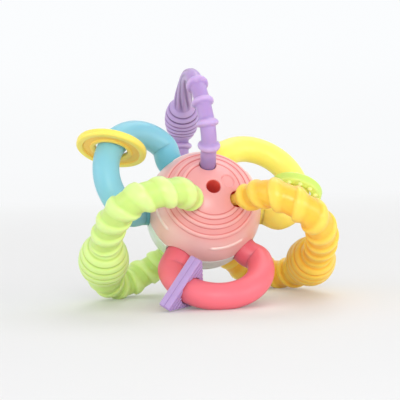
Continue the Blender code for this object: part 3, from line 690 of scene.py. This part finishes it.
def shell(name, upper):
    """One shell as a closed wall: outside with its relief, rim, inside and the sleeve of the sound hole."""
    azimuth = np.arange(SHELL_COLUMNS) * 360.0 / SHELL_COLUMNS
    edge = math.degrees(math.asin((SOUND_HOLE_R + SOUND_HOLE_ROUND) / BALL_R))
    rim = (SEAM_RISE if upper else -SEAM_RISE) + FIT / 2.0
    last = math.degrees(math.acos((rim + RIM_ROUND) / BALL_R))
    polar = np.concatenate((
        np.arange(edge, RIDGE_BAND[0], POLE_STEP),
        np.arange(*RIDGE_BAND, RIDGE_STEP),
        np.arange(RIDGE_BAND[1], DASH_BAND[0], PLAIN_STEP),
        np.arange(*DASH_BAND, DASH_STEP),
        np.arange(DASH_BAND[1], last - RIM_STEP, PLAIN_STEP),
        [last],
    ))
    polar_grid, azimuth_grid = np.meshgrid(polar, azimuth, indexing="ij")
    reach = BALL_R + ridge_lift(polar_grid) + dash_lift(polar_grid, azimuth_grid)
    if upper:
        reach = reach + dimple_lift(polar_grid, azimuth_grid)
    radius = reach * np.sin(np.radians(polar_grid))
    height = reach * np.cos(np.radians(polar_grid))
    share = math.sqrt(1.0 - (SEAM_RISE / BALL_R) ** 2)
    inner = [(BALL_R * share - RIM_ROUND, rim), (BALL_IN * share, rim)]
    for degrees in np.arange(UPPER_LINING_FROM if upper else LOWER_LINING_FROM, LINING_TO, -LINING_STEP):
        angle = math.radians(degrees)
        inner.append((BALL_IN * math.sin(angle), BALL_IN * math.cos(angle)))
    lip = BALL_R * math.cos(math.radians(edge)) - SOUND_HOLE_LIP
    inner += [(SLEEVE_R, math.sqrt(BALL_IN ** 2 - SLEEVE_R ** 2)), (SLEEVE_R, SLEEVE_END)]
    inner += [(SOUND_HOLE_R, z) for z in (SLEEVE_END, lip - SOUND_HOLE_LIP_H, lip)]
    inner = np.array(inner)
    radius = np.vstack((radius, np.repeat(inner[:, :1], SHELL_COLUMNS, axis=1)))
    height = np.vstack((height, np.repeat(inner[:, 1:], SHELL_COLUMNS, axis=1)))
    if not upper:
        height = -height
    turn = np.radians(azimuth)
    points = np.stack((radius * np.cos(turn), radius * np.sin(turn), height), axis=-1)
    body = mesh_object(name, points.reshape(-1, 3), grid_faces(len(points), SHELL_COLUMNS, True))
    sharpen(body, SHELL_SHARP)
    return body


def hole_cutter(ways, radius, flare, low):
    """Round cutters through the wall, flared a little at the ball's surface."""
    shape = bmesh.new()
    top = math.sqrt(BALL_R ** 2 - radius ** 2)
    wide = radius + flare
    profile = [(radius, low), (radius, top - flare), (wide, top), (wide, top + HOLE_OVER)]
    angles = np.linspace(0.0, math.tau, HOLE_SIDES, endpoint=False)
    for way in ways:
        turn = Vector(way).to_track_quat("Z", "Y").to_matrix().to_4x4()
        rings = []
        for r, z in profile:
            places = [turn @ Vector((r * math.cos(a), r * math.sin(a), z)) for a in angles]
            rings.append([shape.verts.new(place) for place in places])
        for first, second in zip(rings, rings[1:]):
            for i in range(HOLE_SIDES):
                j = (i + 1) % HOLE_SIDES
                shape.faces.new((first[i], first[j], second[j], second[i]))
        shape.faces.new(tuple(reversed(rings[0])))
        shape.faces.new(tuple(rings[-1]))
    return from_bmesh("hole_cutter", shape)


def shell_relief(places, reach, upper):
    """Relief of a shell: painted highlights on the dashes and ridges, a painted floor reflection on the seam
    side, painted shade at the feet of the ridges and the edge of the dimple.
    """
    tilt = np.degrees(np.arccos(np.clip(np.abs(places[:, 2]) / reach, 0.0, 1.0)))
    lift = np.clip((reach - BALL_R) / RIDGE_H, 0.0, 1.0)
    # painted highlight on the crests of the dashes and ridges
    crest = np.where(tilt > DASH_ZONE, DASH_LIGHT, RIDGE_LIGHT) * lift
    # painted reflection of the pale floor towards the seam
    relief = PLAIN_RELIEF + crest + SEAM_REFLECTION * ease(*SEAM_ZONE, tilt)
    for ridge in RIDGE_ANGLES:
        # painted shade at the feet of each ridge
        foot = np.clip(1.0 - np.abs(np.abs(tilt - ridge) - RIDGE_HALF) / RIDGE_FOOT, 0.0, 1.0)
        relief = relief - RIDGE_FOOT_DARK * foot
    if upper:
        middle = from_pole(DIMPLE_ANGLE, DIMPLE_AZIMUTH) * BALL_R
        off = np.abs(np.linalg.norm(places - middle, axis=1) - DIMPLE_R)
        # painted shade along the dimple's edge
        relief = relief - DIMPLE_DARK * np.clip(1.0 - off / DIMPLE_SLOPE, 0.0, 1.0)
    return relief


def shell_piece(name, upper, look, lining):
    """A shell with the loops' holes cut, its look outside and its lining in the wall and inside."""
    body = shell(name + "_look", upper)
    polar = HOLE_POLAR if upper else 180.0 - HOLE_POLAR
    necks = [from_pole(polar, azimuth) for azimuth, *_ in TEXTURED.values()]
    legs = [compass(azimuth + s) for azimuth, *_, half in SMOOTH.values() for s in (-half, half)]
    cutters = [
        boolean(body, hole_cutter(necks, NECK_R + FIT, NECK_HOLE_FLARE, NECK_HOLE_LOW)),
        boolean(body, hole_cutter(legs, SMOOTH_R + FIT, LEG_HOLE_FLARE, LEG_HOLE_LOW)),
    ]
    settle(body, cutters)
    sharpen(body, CUT_SHARP)
    places = vertices_of(body)
    reach = np.linalg.norm(places, axis=1)
    hidden = reach < BALL_R - LINING_DEPTH
    relief = np.where(hidden, PLAIN_RELIEF, shell_relief(places, reach, upper))
    set_relief(body, np.clip(relief, 0.0, 1.0))
    body.data.transform(POSE)
    wear(body, look, "root", name)
    body.data.materials.append(MATERIALS[lining])
    for face in body.data.polygons:
        face.material_index = int(sum(hidden[i] for i in face.vertices) * 2 >= len(face.vertices))


shell_piece("upper_shell", True, "coral_shell", "coral_inside")
shell_piece("lower_shell", False, "mint_shell", "mint_shell")

# Loops


def section_frames(line, places, wanted, step, side):
    """Middles of a loop's cross-sections, and two ways across the loop at each."""
    middle = points_at(line, places, wanted)
    ahead = points_at(line, places, np.minimum(wanted + step, places[-1]))
    behind = points_at(line, places, np.maximum(wanted - step, 0.0))
    way = unit(ahead - behind)
    normal = unit(side - way * (way @ side)[:, None])
    return middle, normal, np.cross(way, normal)


def loop_piece(name, frames, radius, relief, look):
    """A loop from its cross-sections, pressed flat where it rests on the table."""
    middle, normal, across = frames
    sides = radius.shape[1]
    angle = np.arange(sides) * math.tau / sides
    ring = np.cos(angle)[None, :, None] * normal[:, None, :]
    ring = ring + np.sin(angle)[None, :, None] * across[:, None, :]
    points = middle[:, None, :] + ring * radius[:, :, None]
    piece = tube(name + "_look", points, np.clip(relief, 0.0, 1.0))
    piece.data.transform(POSE)
    for vertex in piece.data.vertices:
        vertex.co.z = max(vertex.co.z, 0.0)
    wear(piece, look, "root", name)


# Textured loops


def arch_line(name):
    """Centre line of a textured loop, the index on it of its bulb's middle, and the way across its arch."""
    azimuth, centre, half_wide, half_high, shear, lean_coral, lean_mint, bulb_at = TEXTURED[name]
    radial = compass(azimuth)
    side = np.cross((0.0, 0.0, 1.0), radial)
    span = 180.0 - 2.0 * ARCH_START
    angle = np.radians(ARCH_START + span * np.arange(ARCH_POINTS + 1) / ARCH_POINTS)
    sine = np.sin(angle)
    cosine = np.cos(angle)
    size = (np.abs(sine) ** SQUARENESS + np.abs(cosine) ** SQUARENESS) ** (1.0 / SQUARENESS)
    height = half_high * cosine / size
    reach = centre + half_wide * sine / size + shear * height
    lean = np.radians(lean_mint + (lean_coral - lean_mint) * (height / half_high + 1.0) / 2.0)
    out = reach - ROOT_AXIS
    flat = ROOT_AXIS + out * np.cos(lean)
    middle = flat[:, None] * radial + (out * np.sin(lean))[:, None] * side
    middle[:, 2] += height
    coral = from_pole(HOLE_POLAR, azimuth)
    mint = from_pole(180.0 - HOLE_POLAR, azimuth)
    inside = HEAD_OUT - HEAD_L
    root = BALL_R + ROOT_STRAIGHT
    start_way = unit(middle[1] - middle[0])
    end_way = unit(middle[-1] - middle[-2])
    first = hermite(coral * root, coral, middle[0], start_way, ARCH_LEG_POINTS)
    last = hermite(middle[-1], end_way, mint * root, -mint, ARCH_LEG_POINTS)
    line = np.vstack(([coral * inside], first, middle[1:-1], last, [mint * inside]))
    bulb_index = len(first) + round((bulb_at - ARCH_START) / span * ARCH_POINTS)
    return line, bulb_index, side


def bulb_radius(place, middle, radius, before, after):
    """Radius of an egg-shaped bulb, zero outside it."""
    reach = np.clip(np.abs(place - middle) / np.where(place < middle, before, after), 0.0, 1.0)
    return radius * np.sqrt(1.0 - reach ** 2) ** BULB_FULLNESS


def groove_at(place, middle, before, after, pitch):
    """Narrow grooves round a bulb, one each pitch, which fade towards its ends."""
    turn = (place - middle) / pitch
    off = np.abs(turn - np.floor(turn) - 0.5) * 2.0
    depth = np.clip(1.0 - off / GROOVE_HALF, 0.0, 1.0) ** GROOVE_SHARPNESS
    reach = np.abs(place - middle) / np.where(place < middle, before, after)
    return depth * (1.0 - ease(*GROOVE_FADE, reach))


def rope_radius(crest_from, place, angle, total, bulb, root):
    """Radius and relief of a loop with one right-hand helical ridge, a grooved bulb and tapering ends."""
    from_end = np.minimum(place, total - place) - root
    blend = ease(0.0, ROPE_BLEND, from_end)
    thin = np.where(place < bulb, ROPE_NECK_R, ROPE_TAIL_R)
    body = ROPE_ROOT_R + (thin - ROPE_ROOT_R) * blend
    body = body + (ROPE_CORE_R - thin) * ease(ROPE_BLEND, ROPE_BLEND + ROPE_TAPER, from_end)
    turn = math.tau * place / ROPE_PITCH - angle
    wave = 0.5 + 0.5 * np.cos(turn + ROPE_SKEW * (np.cos(turn) - 1.0))
    ridge = ease(crest_from, ROPE_CREST_FULL, wave)
    away = ease(BULB_CLEAR, BULB_BEFORE, np.abs(place - bulb))
    strength = ease(*ROPE_RIDGE_FADE, from_end) * away
    body = body + ROPE_RIDGE * ridge * strength
    cone = 1.0 - ease(BULB_AFTER, BULB_AFTER + BULB_CONE_L, place - bulb)
    body = body + np.where(place > bulb, BULB_CONE * cone, 0.0)
    groove = groove_at(place, bulb, BULB_BEFORE, BULB_AFTER, ROPE_GROOVE_PITCH)
    bead = bulb_radius(place, bulb, BULB_R, BULB_BEFORE, BULB_AFTER) - GROOVE_DEPTH * groove
    # painted highlights on the crests and painted shade between them
    relief = ROPE_RELIEF + (ridge - ROPE_CREST_MIDDLE) * ROPE_CREST_LIGHT * strength
    # painted light near the ends, against the shade of the holes
    relief = relief + ROPE_ROOT_LIGHT * (1.0 - blend)
    # painted light on the bulb, painted shade in its grooves
    relief = np.where(bead > body, BULB_RELIEF - BULB_GROOVE_DARK * groove, relief)
    return np.maximum(body, bead), relief


def cane_radius(place, angle, total, bulb, root):
    """Radius and relief of the thin loop with collars, flutes, a grooved bulb and a collar behind it."""
    from_end = np.minimum(place, total - place) - root
    body = NECK_R + (CANE_R - NECK_R) * ease(0.0, CANE_BLEND, from_end)
    relief = np.full_like(body, PLAIN_RELIEF)
    collars = [root + COLLAR_PITCH * (index + 1.0) for index in range(COLLAR_COUNT)]
    for middle in collars + [bulb + CANE_BULB_HALF + COLLAR_BEHIND]:
        off = np.abs(place - middle)
        near = np.clip(1.0 - (off / COLLAR_HALF) ** 2, 0.0, 1.0)
        body = np.maximum(body, CANE_R + (COLLAR_R - CANE_R) * np.sqrt(near))
        # painted highlight on each collar, then painted shade at its feet
        relief = np.maximum(relief, PLAIN_RELIEF + COLLAR_LIGHT * near)
        foot = np.clip(1.0 - np.abs(off - COLLAR_FOOT_AT) / COLLAR_FOOT, 0.0, 1.0)
        relief = relief - COLLAR_FOOT_DARK * foot
    before = bulb - place
    thick = np.where(before > 0.0, 1.0 - ease(CANE_BULB_HALF, CANE_BULB_HALF + FLUTE_L, before), 0.0)
    flute = 0.5 - 0.5 * np.cos(FLUTE_COUNT * angle + math.tau * place / FLUTE_TWIST)
    start = collars[-1] + FLUTE_GAP
    flute = flute ** 2 * ease(start, start + FLUTE_FADE, place)
    flute = flute * ease(CANE_BULB_HALF - FLUTE_INTO_BULB, CANE_BULB_HALF + FLUTE_BEFORE_BULB, before)
    body = body + thick * FLUTE_THICK - (FLUTE_DEPTH + FLUTE_DEEPENS * thick) * flute
    groove = groove_at(place, bulb, CANE_BULB_HALF, CANE_BULB_HALF, CANE_GROOVE_PITCH)
    bead = bulb_radius(place, bulb, CANE_BULB_R, CANE_BULB_HALF, CANE_BULB_HALF)
    bead = bead - CANE_GROOVE_DEPTH * groove
    # painted shade in the flutes and near the ball
    relief = relief - FLUTE_DARK * flute - CANE_ROOT_DARK * (1.0 - ease(*CANE_ROOT, from_end))
    # painted light on the bulb, painted shade in its grooves
    dark = CANE_GROOVE_DARK * np.clip(CANE_GROOVE_WIDE * groove, 0.0, 1.0)
    relief = np.where(bead > body, CANE_BULB_RELIEF - dark, relief)
    return np.maximum(body, bead), relief


def textured_loop(name, radius_of, neck, sides, look):
    """A textured loop with a neck in the shell's hole and a mushroom head inside the ball at each end."""
    line, bulb_index, side = arch_line(name)
    places, wanted = places_along(line, LOOP_STEP)
    total = places[-1]
    root = BALL_R - HEAD_OUT + HEAD_L
    shoulder = HEAD_L - STEP_W
    wanted = np.sort(np.concatenate((wanted, (HEAD_ROW, shoulder, total - shoulder))))
    angle = np.arange(sides) * math.tau / sides
    radius, relief = radius_of(wanted[:, None], angle[None, :], total, places[bulb_index], root)
    near = np.minimum(wanted, total - wanted)[:, None]
    head = np.where(near > STEP_W, HEAD_R, HEAD_R - HEAD_CHAMFER)
    radius = np.where(near < HEAD_L, head, np.where(near < root, neck, radius))
    loop_piece(name, section_frames(line, places, wanted, LOOP_STEP, side), radius, relief, look)


textured_loop("lilac_loop", cane_radius, NECK_R, CANE_SIDES, "lilac_soft")
textured_loop("lime_loop", partial(rope_radius, LIME_CREST_FROM), ROPE_ROOT_R, LOOP_SIDES, "lime_soft")
textured_loop("orange_loop", partial(rope_radius, ORANGE_CREST_FROM), ROPE_ROOT_R, LOOP_SIDES, "orange_soft")

# Smooth loops


def arc_frame(name):
    """Centre of a smooth loop's arc, and its ways outward, to the side and upright."""
    azimuth, swing, offset, lean, roll, _ = SMOOTH[name]
    radial = compass(azimuth + swing)
    pole = np.array((0.0, 0.0, 1.0))
    outward = radial * math.cos(math.radians(lean)) + pole * math.sin(math.radians(lean))
    flat = np.cross(pole, radial)
    upright = np.cross(outward, flat)
    side = flat * math.cos(math.radians(roll)) + upright * math.sin(math.radians(roll))
    return radial * BALL_R + outward * offset, outward, side, np.cross(outward, side)


def smooth_loop(name, look):
    """A smooth loop: an arc with a leg to the ball and a flange inside it at each end."""
    azimuth, *_, half = SMOOTH[name]
    hub, outward, side, upright = arc_frame(name)
    angle = np.radians(np.linspace(-SMOOTH_ARC_END, SMOOTH_ARC_END, SMOOTH_ARC_POINTS))[:, None]
    arc = hub + (outward * np.cos(angle) + side * np.sin(angle)) * SMOOTH_ARC_R
    first = compass(azimuth - half)
    last = compass(azimuth + half)
    root = BALL_R + ROOT_STRAIGHT
    end = math.radians(SMOOTH_ARC_END)
    start_way = side * math.cos(end) + outward * math.sin(end)
    end_way = side * math.cos(end) - outward * math.sin(end)
    inside = FLANGE_OUT - FLANGE_T
    lead = hermite(first * root, first, arc[0], start_way, SMOOTH_LEG_POINTS)
    tail = hermite(arc[-1], end_way, last * root, -last, SMOOTH_LEG_POINTS)
    line = np.vstack(([first * inside], lead, arc[1:-1], tail, [last * inside]))
    places, wanted = places_along(line, SMOOTH_STEP)
    total = places[-1]
    shoulder = FLANGE_T - STEP_W / 2.0
    wanted = np.sort(np.concatenate((wanted, (shoulder, total - shoulder))))
    near = np.minimum(wanted, total - wanted)[:, None].repeat(LOOP_SIDES, axis=1)
    radius = np.where(near < FLANGE_T, FLANGE_R, SMOOTH_R)
    # painted shade near the roots
    relief = PLAIN_RELIEF - SMOOTH_ROOT_DARK * (1.0 - ease(*SMOOTH_ROOT, near))
    loop_piece(name, section_frames(line, places, wanted, SMOOTH_STEP, upright), radius, relief, look)


smooth_loop("yellow_loop", "yellow_soft")
smooth_loop("blue_loop", "blue_soft")
smooth_loop("red_loop", "red_soft")

# Loose rings


def on_arc(loop, degrees, turn=0.0, reach=SMOOTH_ARC_R):
    """Place of a ring on a loop's arc in the toy's pose, Z along the loop."""
    hub, outward, side, upright = arc_frame(loop)
    axes = Matrix((Vector(outward), Vector(side), Vector(upright))).transposed().to_4x4()
    place = Matrix.Rotation(math.radians(degrees), 4, "Z") @ Matrix.Translation((reach, 0.0, 0.0))
    place = place @ Matrix.Rotation(math.radians(-90.0), 4, "X")
    place = place @ Matrix.Rotation(math.radians(turn), 4, "Z")
    return POSE @ Matrix.Translation(Vector(hub)) @ axes @ place


def leaning_on_arc(loop, degrees, lean):
    """Place of a loose disc, which leans on the loop as far as its play lets it."""
    angle, towards = (math.radians(value) for value in lean)
    tilt = Matrix.Rotation(towards, 4, "Z") @ Matrix.Rotation(angle, 4, "Y")
    tilt = tilt @ Matrix.Rotation(-towards, 4, "Z")
    return on_arc(loop, degrees, 0.0, SMOOTH_ARC_R - LEAN_SHIFT) @ tilt


def bore_edge(half):
    """Rounded side of a disc's bore, from its middle to its upper edge."""
    flat = BORE_FLAT * half
    round_r = half - flat
    turns = [math.radians(90.0 * i / BORE_STEPS) for i in range(BORE_STEPS + 1)]
    return [(RING_BORE + round_r * (1.0 - math.cos(t)), flat + round_r * math.sin(t)) for t in turns]


def outer_edge(radius, half, edge):
    """Rounded outer edge of a disc, from its face to its side."""
    turns = [math.radians(90.0 * i / EDGE_STEPS) for i in range(1, EDGE_STEPS + 1)]
    return [(radius - edge * (1.0 - math.sin(t)), half - edge * (1.0 - math.cos(t))) for t in turns]


def mirrored(top):
    """A disc's whole section from its upper half."""
    return top + [(r, -z) for r, z in reversed(top)]


def disc_ring():
    """Amber disc with a raised rim and hub."""
    half = DISC_T / 2.0
    hub_top = half - DISC_STEP
    web = half - DISC_WEB_DROP
    rim_in = DISC_R - DISC_RIM_W
    hub_out = RING_BORE + DISC_HUB_W
    top = bore_edge(hub_top)
    top += [(hub_out - DISC_BEVEL, hub_top), (hub_out, hub_top - DISC_STEP)]
    top += [(hub_out + DISC_SLOPE, web), (rim_in - DISC_SLOPE, web)]
    top += [(rim_in, half - DISC_STEP), (rim_in + DISC_BEVEL, half), (DISC_R - DISC_EDGE, half)]
    top += outer_edge(DISC_R, half, DISC_EDGE)
    body = turned("disc_ring_look", mirrored(top), DISC_STEPS)
    sharpen(body, DISC_SHARP)
    reach = np.linalg.norm(vertices_of(body)[:, :2], axis=1)
    # painted shade on the web, painted light on the rim
    inner = np.where(reach > hub_out, DISC_WEB_RELIEF, PLAIN_RELIEF)
    set_relief(body, np.where(reach > rim_in + DISC_STEP, DISC_RIM_RELIEF, inner))
    body.data.transform(leaning_on_arc("blue_loop", DISC_AT, DISC_LEAN))
    wear(body, "amber_ring", "disc", "disc_ring")


def studded_ring():
    """Lime disc with a ring of round studs on each face."""
    half = STUD_DISC_T / 2.0
    top = bore_edge(half) + [(STUD_DISC_R - STUD_DISC_EDGE, half)]
    top += outer_edge(STUD_DISC_R, half, STUD_DISC_EDGE)
    body = turned("studded_ring_look", mirrored(top), STUD_DISC_STEPS)
    shape = bmesh.new()
    reach = STUD_DISC_R - STUD_IN
    for face in (-1.0, 1.0):
        for index in range(STUD_COUNT):
            angle = math.tau * (index + STUD_TURN * face) / STUD_COUNT
            place = (reach * math.cos(angle), reach * math.sin(angle), face * (half - STUD_SINK))
            bmesh.ops.create_uvsphere(
                shape, u_segments=STUD_SEGMENTS, v_segments=STUD_RINGS,
                radius=STUD_R, matrix=Matrix.Translation(place),
            )
    settle(body, [boolean(body, from_bmesh("studs", shape), "UNION")])
    sharpen(body, DISC_SHARP)
    # painted highlights on the studs
    rise = (np.abs(vertices_of(body)[:, 2]) - half) / STUD_R
    set_relief(body, np.clip(STUD_DISC_RELIEF + rise * STUD_LIGHT, 0.0, 1.0))
    body.data.transform(leaning_on_arc("yellow_loop", STUD_DISC_AT, STUD_DISC_LEAN))
    wear(body, "lime_ring", "studded", "studded_ring")


def triangle_ring():
    """Purple triangle with washboard faces, rounded corners and a notch along one edge."""
    crest = TRIANGLE_T / 2.0
    valley = crest - TRIANGLE_RIDGE_H
    pitch = TRIANGLE_RIDGE_PITCH
    edge_x = TRIANGLE_IN - TRIANGLE_EDGE_IN
    top = []
    for index in reversed(range(math.ceil(3.0 * TRIANGLE_IN / pitch) + 1)):
        right = edge_x - pitch * index
        top += [(right - pitch, crest), (right - TRIANGLE_VALLEY_AT, valley)]
        top.append((right - TRIANGLE_CREST_W, crest))
    top.append((edge_x, crest))
    notch = TRIANGLE_EDGE_GROOVE
    edge = [(edge_x, notch), (edge_x - notch, 0.0), (edge_x, -notch)]
    section = top + edge + [(x, -z) for x, z in reversed(top)]
    body = thick_face("triangle_ring_look", [(x, 0.0, z) for x, z in section], 2.0 * TRIANGLE_SIDE)
    outline = []
    reach = 2.0 * (TRIANGLE_IN - TRIANGLE_CORNER_R)
    for corner in (60.0, 180.0, 300.0):
        for step in np.linspace(-60.0, 60.0, TRIANGLE_CORNER_STEPS + 1):
            outline.append(compass(corner) * reach + compass(corner + step) * TRIANGLE_CORNER_R)
    prism = boolean(body, thick_face("prism", outline, 2.0 * TRIANGLE_T), "INTERSECT")
    shape = bmesh.new()
    bmesh.ops.create_cone(
        shape, cap_ends=True, segments=TRIANGLE_BORE_SIDES,
        radius1=TRIANGLE_BORE, radius2=TRIANGLE_BORE, depth=6.0 * TRIANGLE_T,
    )
    bore = boolean(body, from_bmesh("bore", shape))
    soften = body.modifiers.new("soften", "BEVEL")
    soften.width = TRIANGLE_SOFTEN
    soften.segments = 2
    soften.limit_method = "ANGLE"
    soften.angle_limit = math.radians(TRIANGLE_SOFTEN_FROM)
    settle(body, [prism, bore])
    sharpen(body, CUT_SHARP)
    places = vertices_of(body)
    high = np.abs(places[:, 2])
    # painted shade in the valleys
    sunk = (high - crest) / TRIANGLE_RIDGE_H * TRIANGLE_VALLEY_DARK
    relief = np.clip(PLAIN_RELIEF + sunk, 0.0, PLAIN_RELIEF)
    # painted shade in the notch, painted light on the edge face
    bar = np.where(high < TRIANGLE_NOTCH_HALF, TRIANGLE_NOTCH_RELIEF, TRIANGLE_EDGE_RELIEF)
    set_relief(body, np.where(places[:, 0] > edge_x - TRIANGLE_EDGE_ZONE, bar, relief))
    body.data.transform(on_arc("red_loop", TRIANGLE_AT, TRIANGLE_TURN))
    wear(body, "purple_ring", "triangle", "triangle_ring")


disc_ring()
studded_ring()
triangle_ring()

# Pieces inside the ball keep their frame solids
INSIDE = {
    "rattle_case_upper": "red_plastic",
    "rattle_case_lower": "white_plastic",
    "rattle_bead_1": "amber_bead",
    "rattle_bead_2": "red_plastic",
    "rattle_bead_3": "white_plastic",
}
for node_name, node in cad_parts.items():
    inside_look = INSIDE.get(node_name)
    if "washer" in node_name:
        inside_look = "red_plastic" if node_name.endswith("upper") else "white_plastic"
    if inside_look:
        node.data.materials.clear()
        node.data.materials.append(MATERIALS[inside_look])

# Stage
right_way = (TURN @ RIGHT_WAY).normalized()
back_way = right_way.cross(TURN @ UP_WAY).normalized()
up_way = back_way.cross(right_way)
UPRIGHT = Vector((0.0, 0.0, 1.0))
side_way = Vector((right_way.x, right_way.y, 0.0)).normalized()
near_way = side_way.cross(UPRIGHT)


def paper():
    """Pale matt paper that glows with distance, but only where it is seen or mirrored."""
    made = bpy.data.materials.new("paper")
    made.use_nodes = True
    tree = made.node_tree
    shader = tree.nodes["Principled BSDF"]
    shader.inputs["Base Color"].default_value = (*PAPER_COLOUR, 1.0)
    shader.inputs["Roughness"].default_value = PAPER_ROUGHNESS
    shader.inputs["Specular IOR Level"].default_value = PAPER_SPECULAR
    far, tint = relief_tint(tree, PAPER_NEAR, PAPER_HAZE, PAPER_FAR, PAPER_HAZE_AT)
    glow = tree.nodes.new("ShaderNodeEmission")
    tree.links.new(tint, glow.inputs["Color"])
    share = spread(tree, far, GLOW_LEAST, 1.0, GLOW_FULL_AT)
    path = tree.nodes.new("ShaderNodeLightPath")
    seen = combined(tree, "MAXIMUM", path.outputs["Is Camera Ray"], path.outputs["Is Glossy Ray"])
    seen = combined(tree, "MAXIMUM", seen, path.outputs["Is Transmission Ray"])
    mix = tree.nodes.new("ShaderNodeMixShader")
    tree.links.new(combined(tree, "MULTIPLY", share, seen), mix.inputs["Fac"])
    tree.links.new(shader.outputs["BSDF"], mix.inputs[1])
    tree.links.new(glow.outputs["Emission"], mix.inputs[2])
    tree.links.new(mix.outputs["Shader"], tree.nodes["Material Output"].inputs["Surface"])
    return made


def sweep():
    """Pale floor that runs away from the camera and curves up into a backdrop."""
    bend_from = SWEEP_BACK - SWEEP_BEND
    line = [(y, 0.0) for y in (*SWEEP_FLOOR, bend_from)]
    for i in range(1, SWEEP_STEPS + 1):
        angle = math.radians(90.0 * i / SWEEP_STEPS)
        line.append((bend_from + SWEEP_BEND * math.sin(angle), SWEEP_BEND - SWEEP_BEND * math.cos(angle)))
    line.append((SWEEP_BACK, SWEEP_TOP))
    points = []
    far = []
    for y, z in line:
        for x in (-SWEEP_HALF, SWEEP_HALF):
            points.append(side_way * x - near_way * y + UPRIGHT * z)
            far.append(ease(*FLOOR_FADE, y) * FLOOR_SHARE + ease(*WALL_FADE, z) * (1.0 - FLOOR_SHARE))
    faces = [(2 * i, 2 * i + 1, 2 * i + 3, 2 * i + 2) for i in range(len(line) - 1)]
    floor = mesh_object("floor", points, faces, far)
    floor.data.materials.append(paper())


def area_light(name, right, near, height, size, watts):
    """A soft lamp that shines on the toy."""
    data = bpy.data.lights.new(name, "AREA")
    data.shape = "RECTANGLE"
    data.size, data.size_y = size
    data.energy = watts
    lamp = linked(name, data)
    lamp.location = side_way * right + near_way * near + UPRIGHT * height
    lamp.rotation_euler = (UPRIGHT * LAMP_AIM_H - lamp.location).to_track_quat("-Z", "Y").to_euler()


sweep()
for lamp_name, lamp_values in LAMPS.items():
    area_light(lamp_name, *lamp_values)

world = bpy.data.worlds.new("studio")
world.use_nodes = True
world.node_tree.nodes["Background"].inputs["Color"].default_value = (*SKY_COLOUR, 1.0)
world.node_tree.nodes["Background"].inputs["Strength"].default_value = SKY_STRENGTH
bpy.context.scene.world = world

camera_data = bpy.data.cameras.new("camera")
camera_data.sensor_width = SENSOR_W
camera_data.sensor_fit = "HORIZONTAL"
camera_data.lens = SENSOR_W * CAMERA_PIXELS / PHOTO_PIXELS
camera_data.clip_start = CLIP_START
camera = linked("camera", camera_data)
spot = CENTRE - right_way * BALL_PIXEL[0] * PIXEL - up_way * BALL_PIXEL[1] * PIXEL
spot = spot + back_way * CAMERA_PIXELS * PIXEL
camera_axes = Matrix((right_way, up_way, back_way)).transposed()
camera.matrix_world = Matrix.Translation(spot) @ camera_axes.to_4x4()
bpy.context.scene.camera = camera
bpy.context.scene.view_settings.view_transform = "Standard"
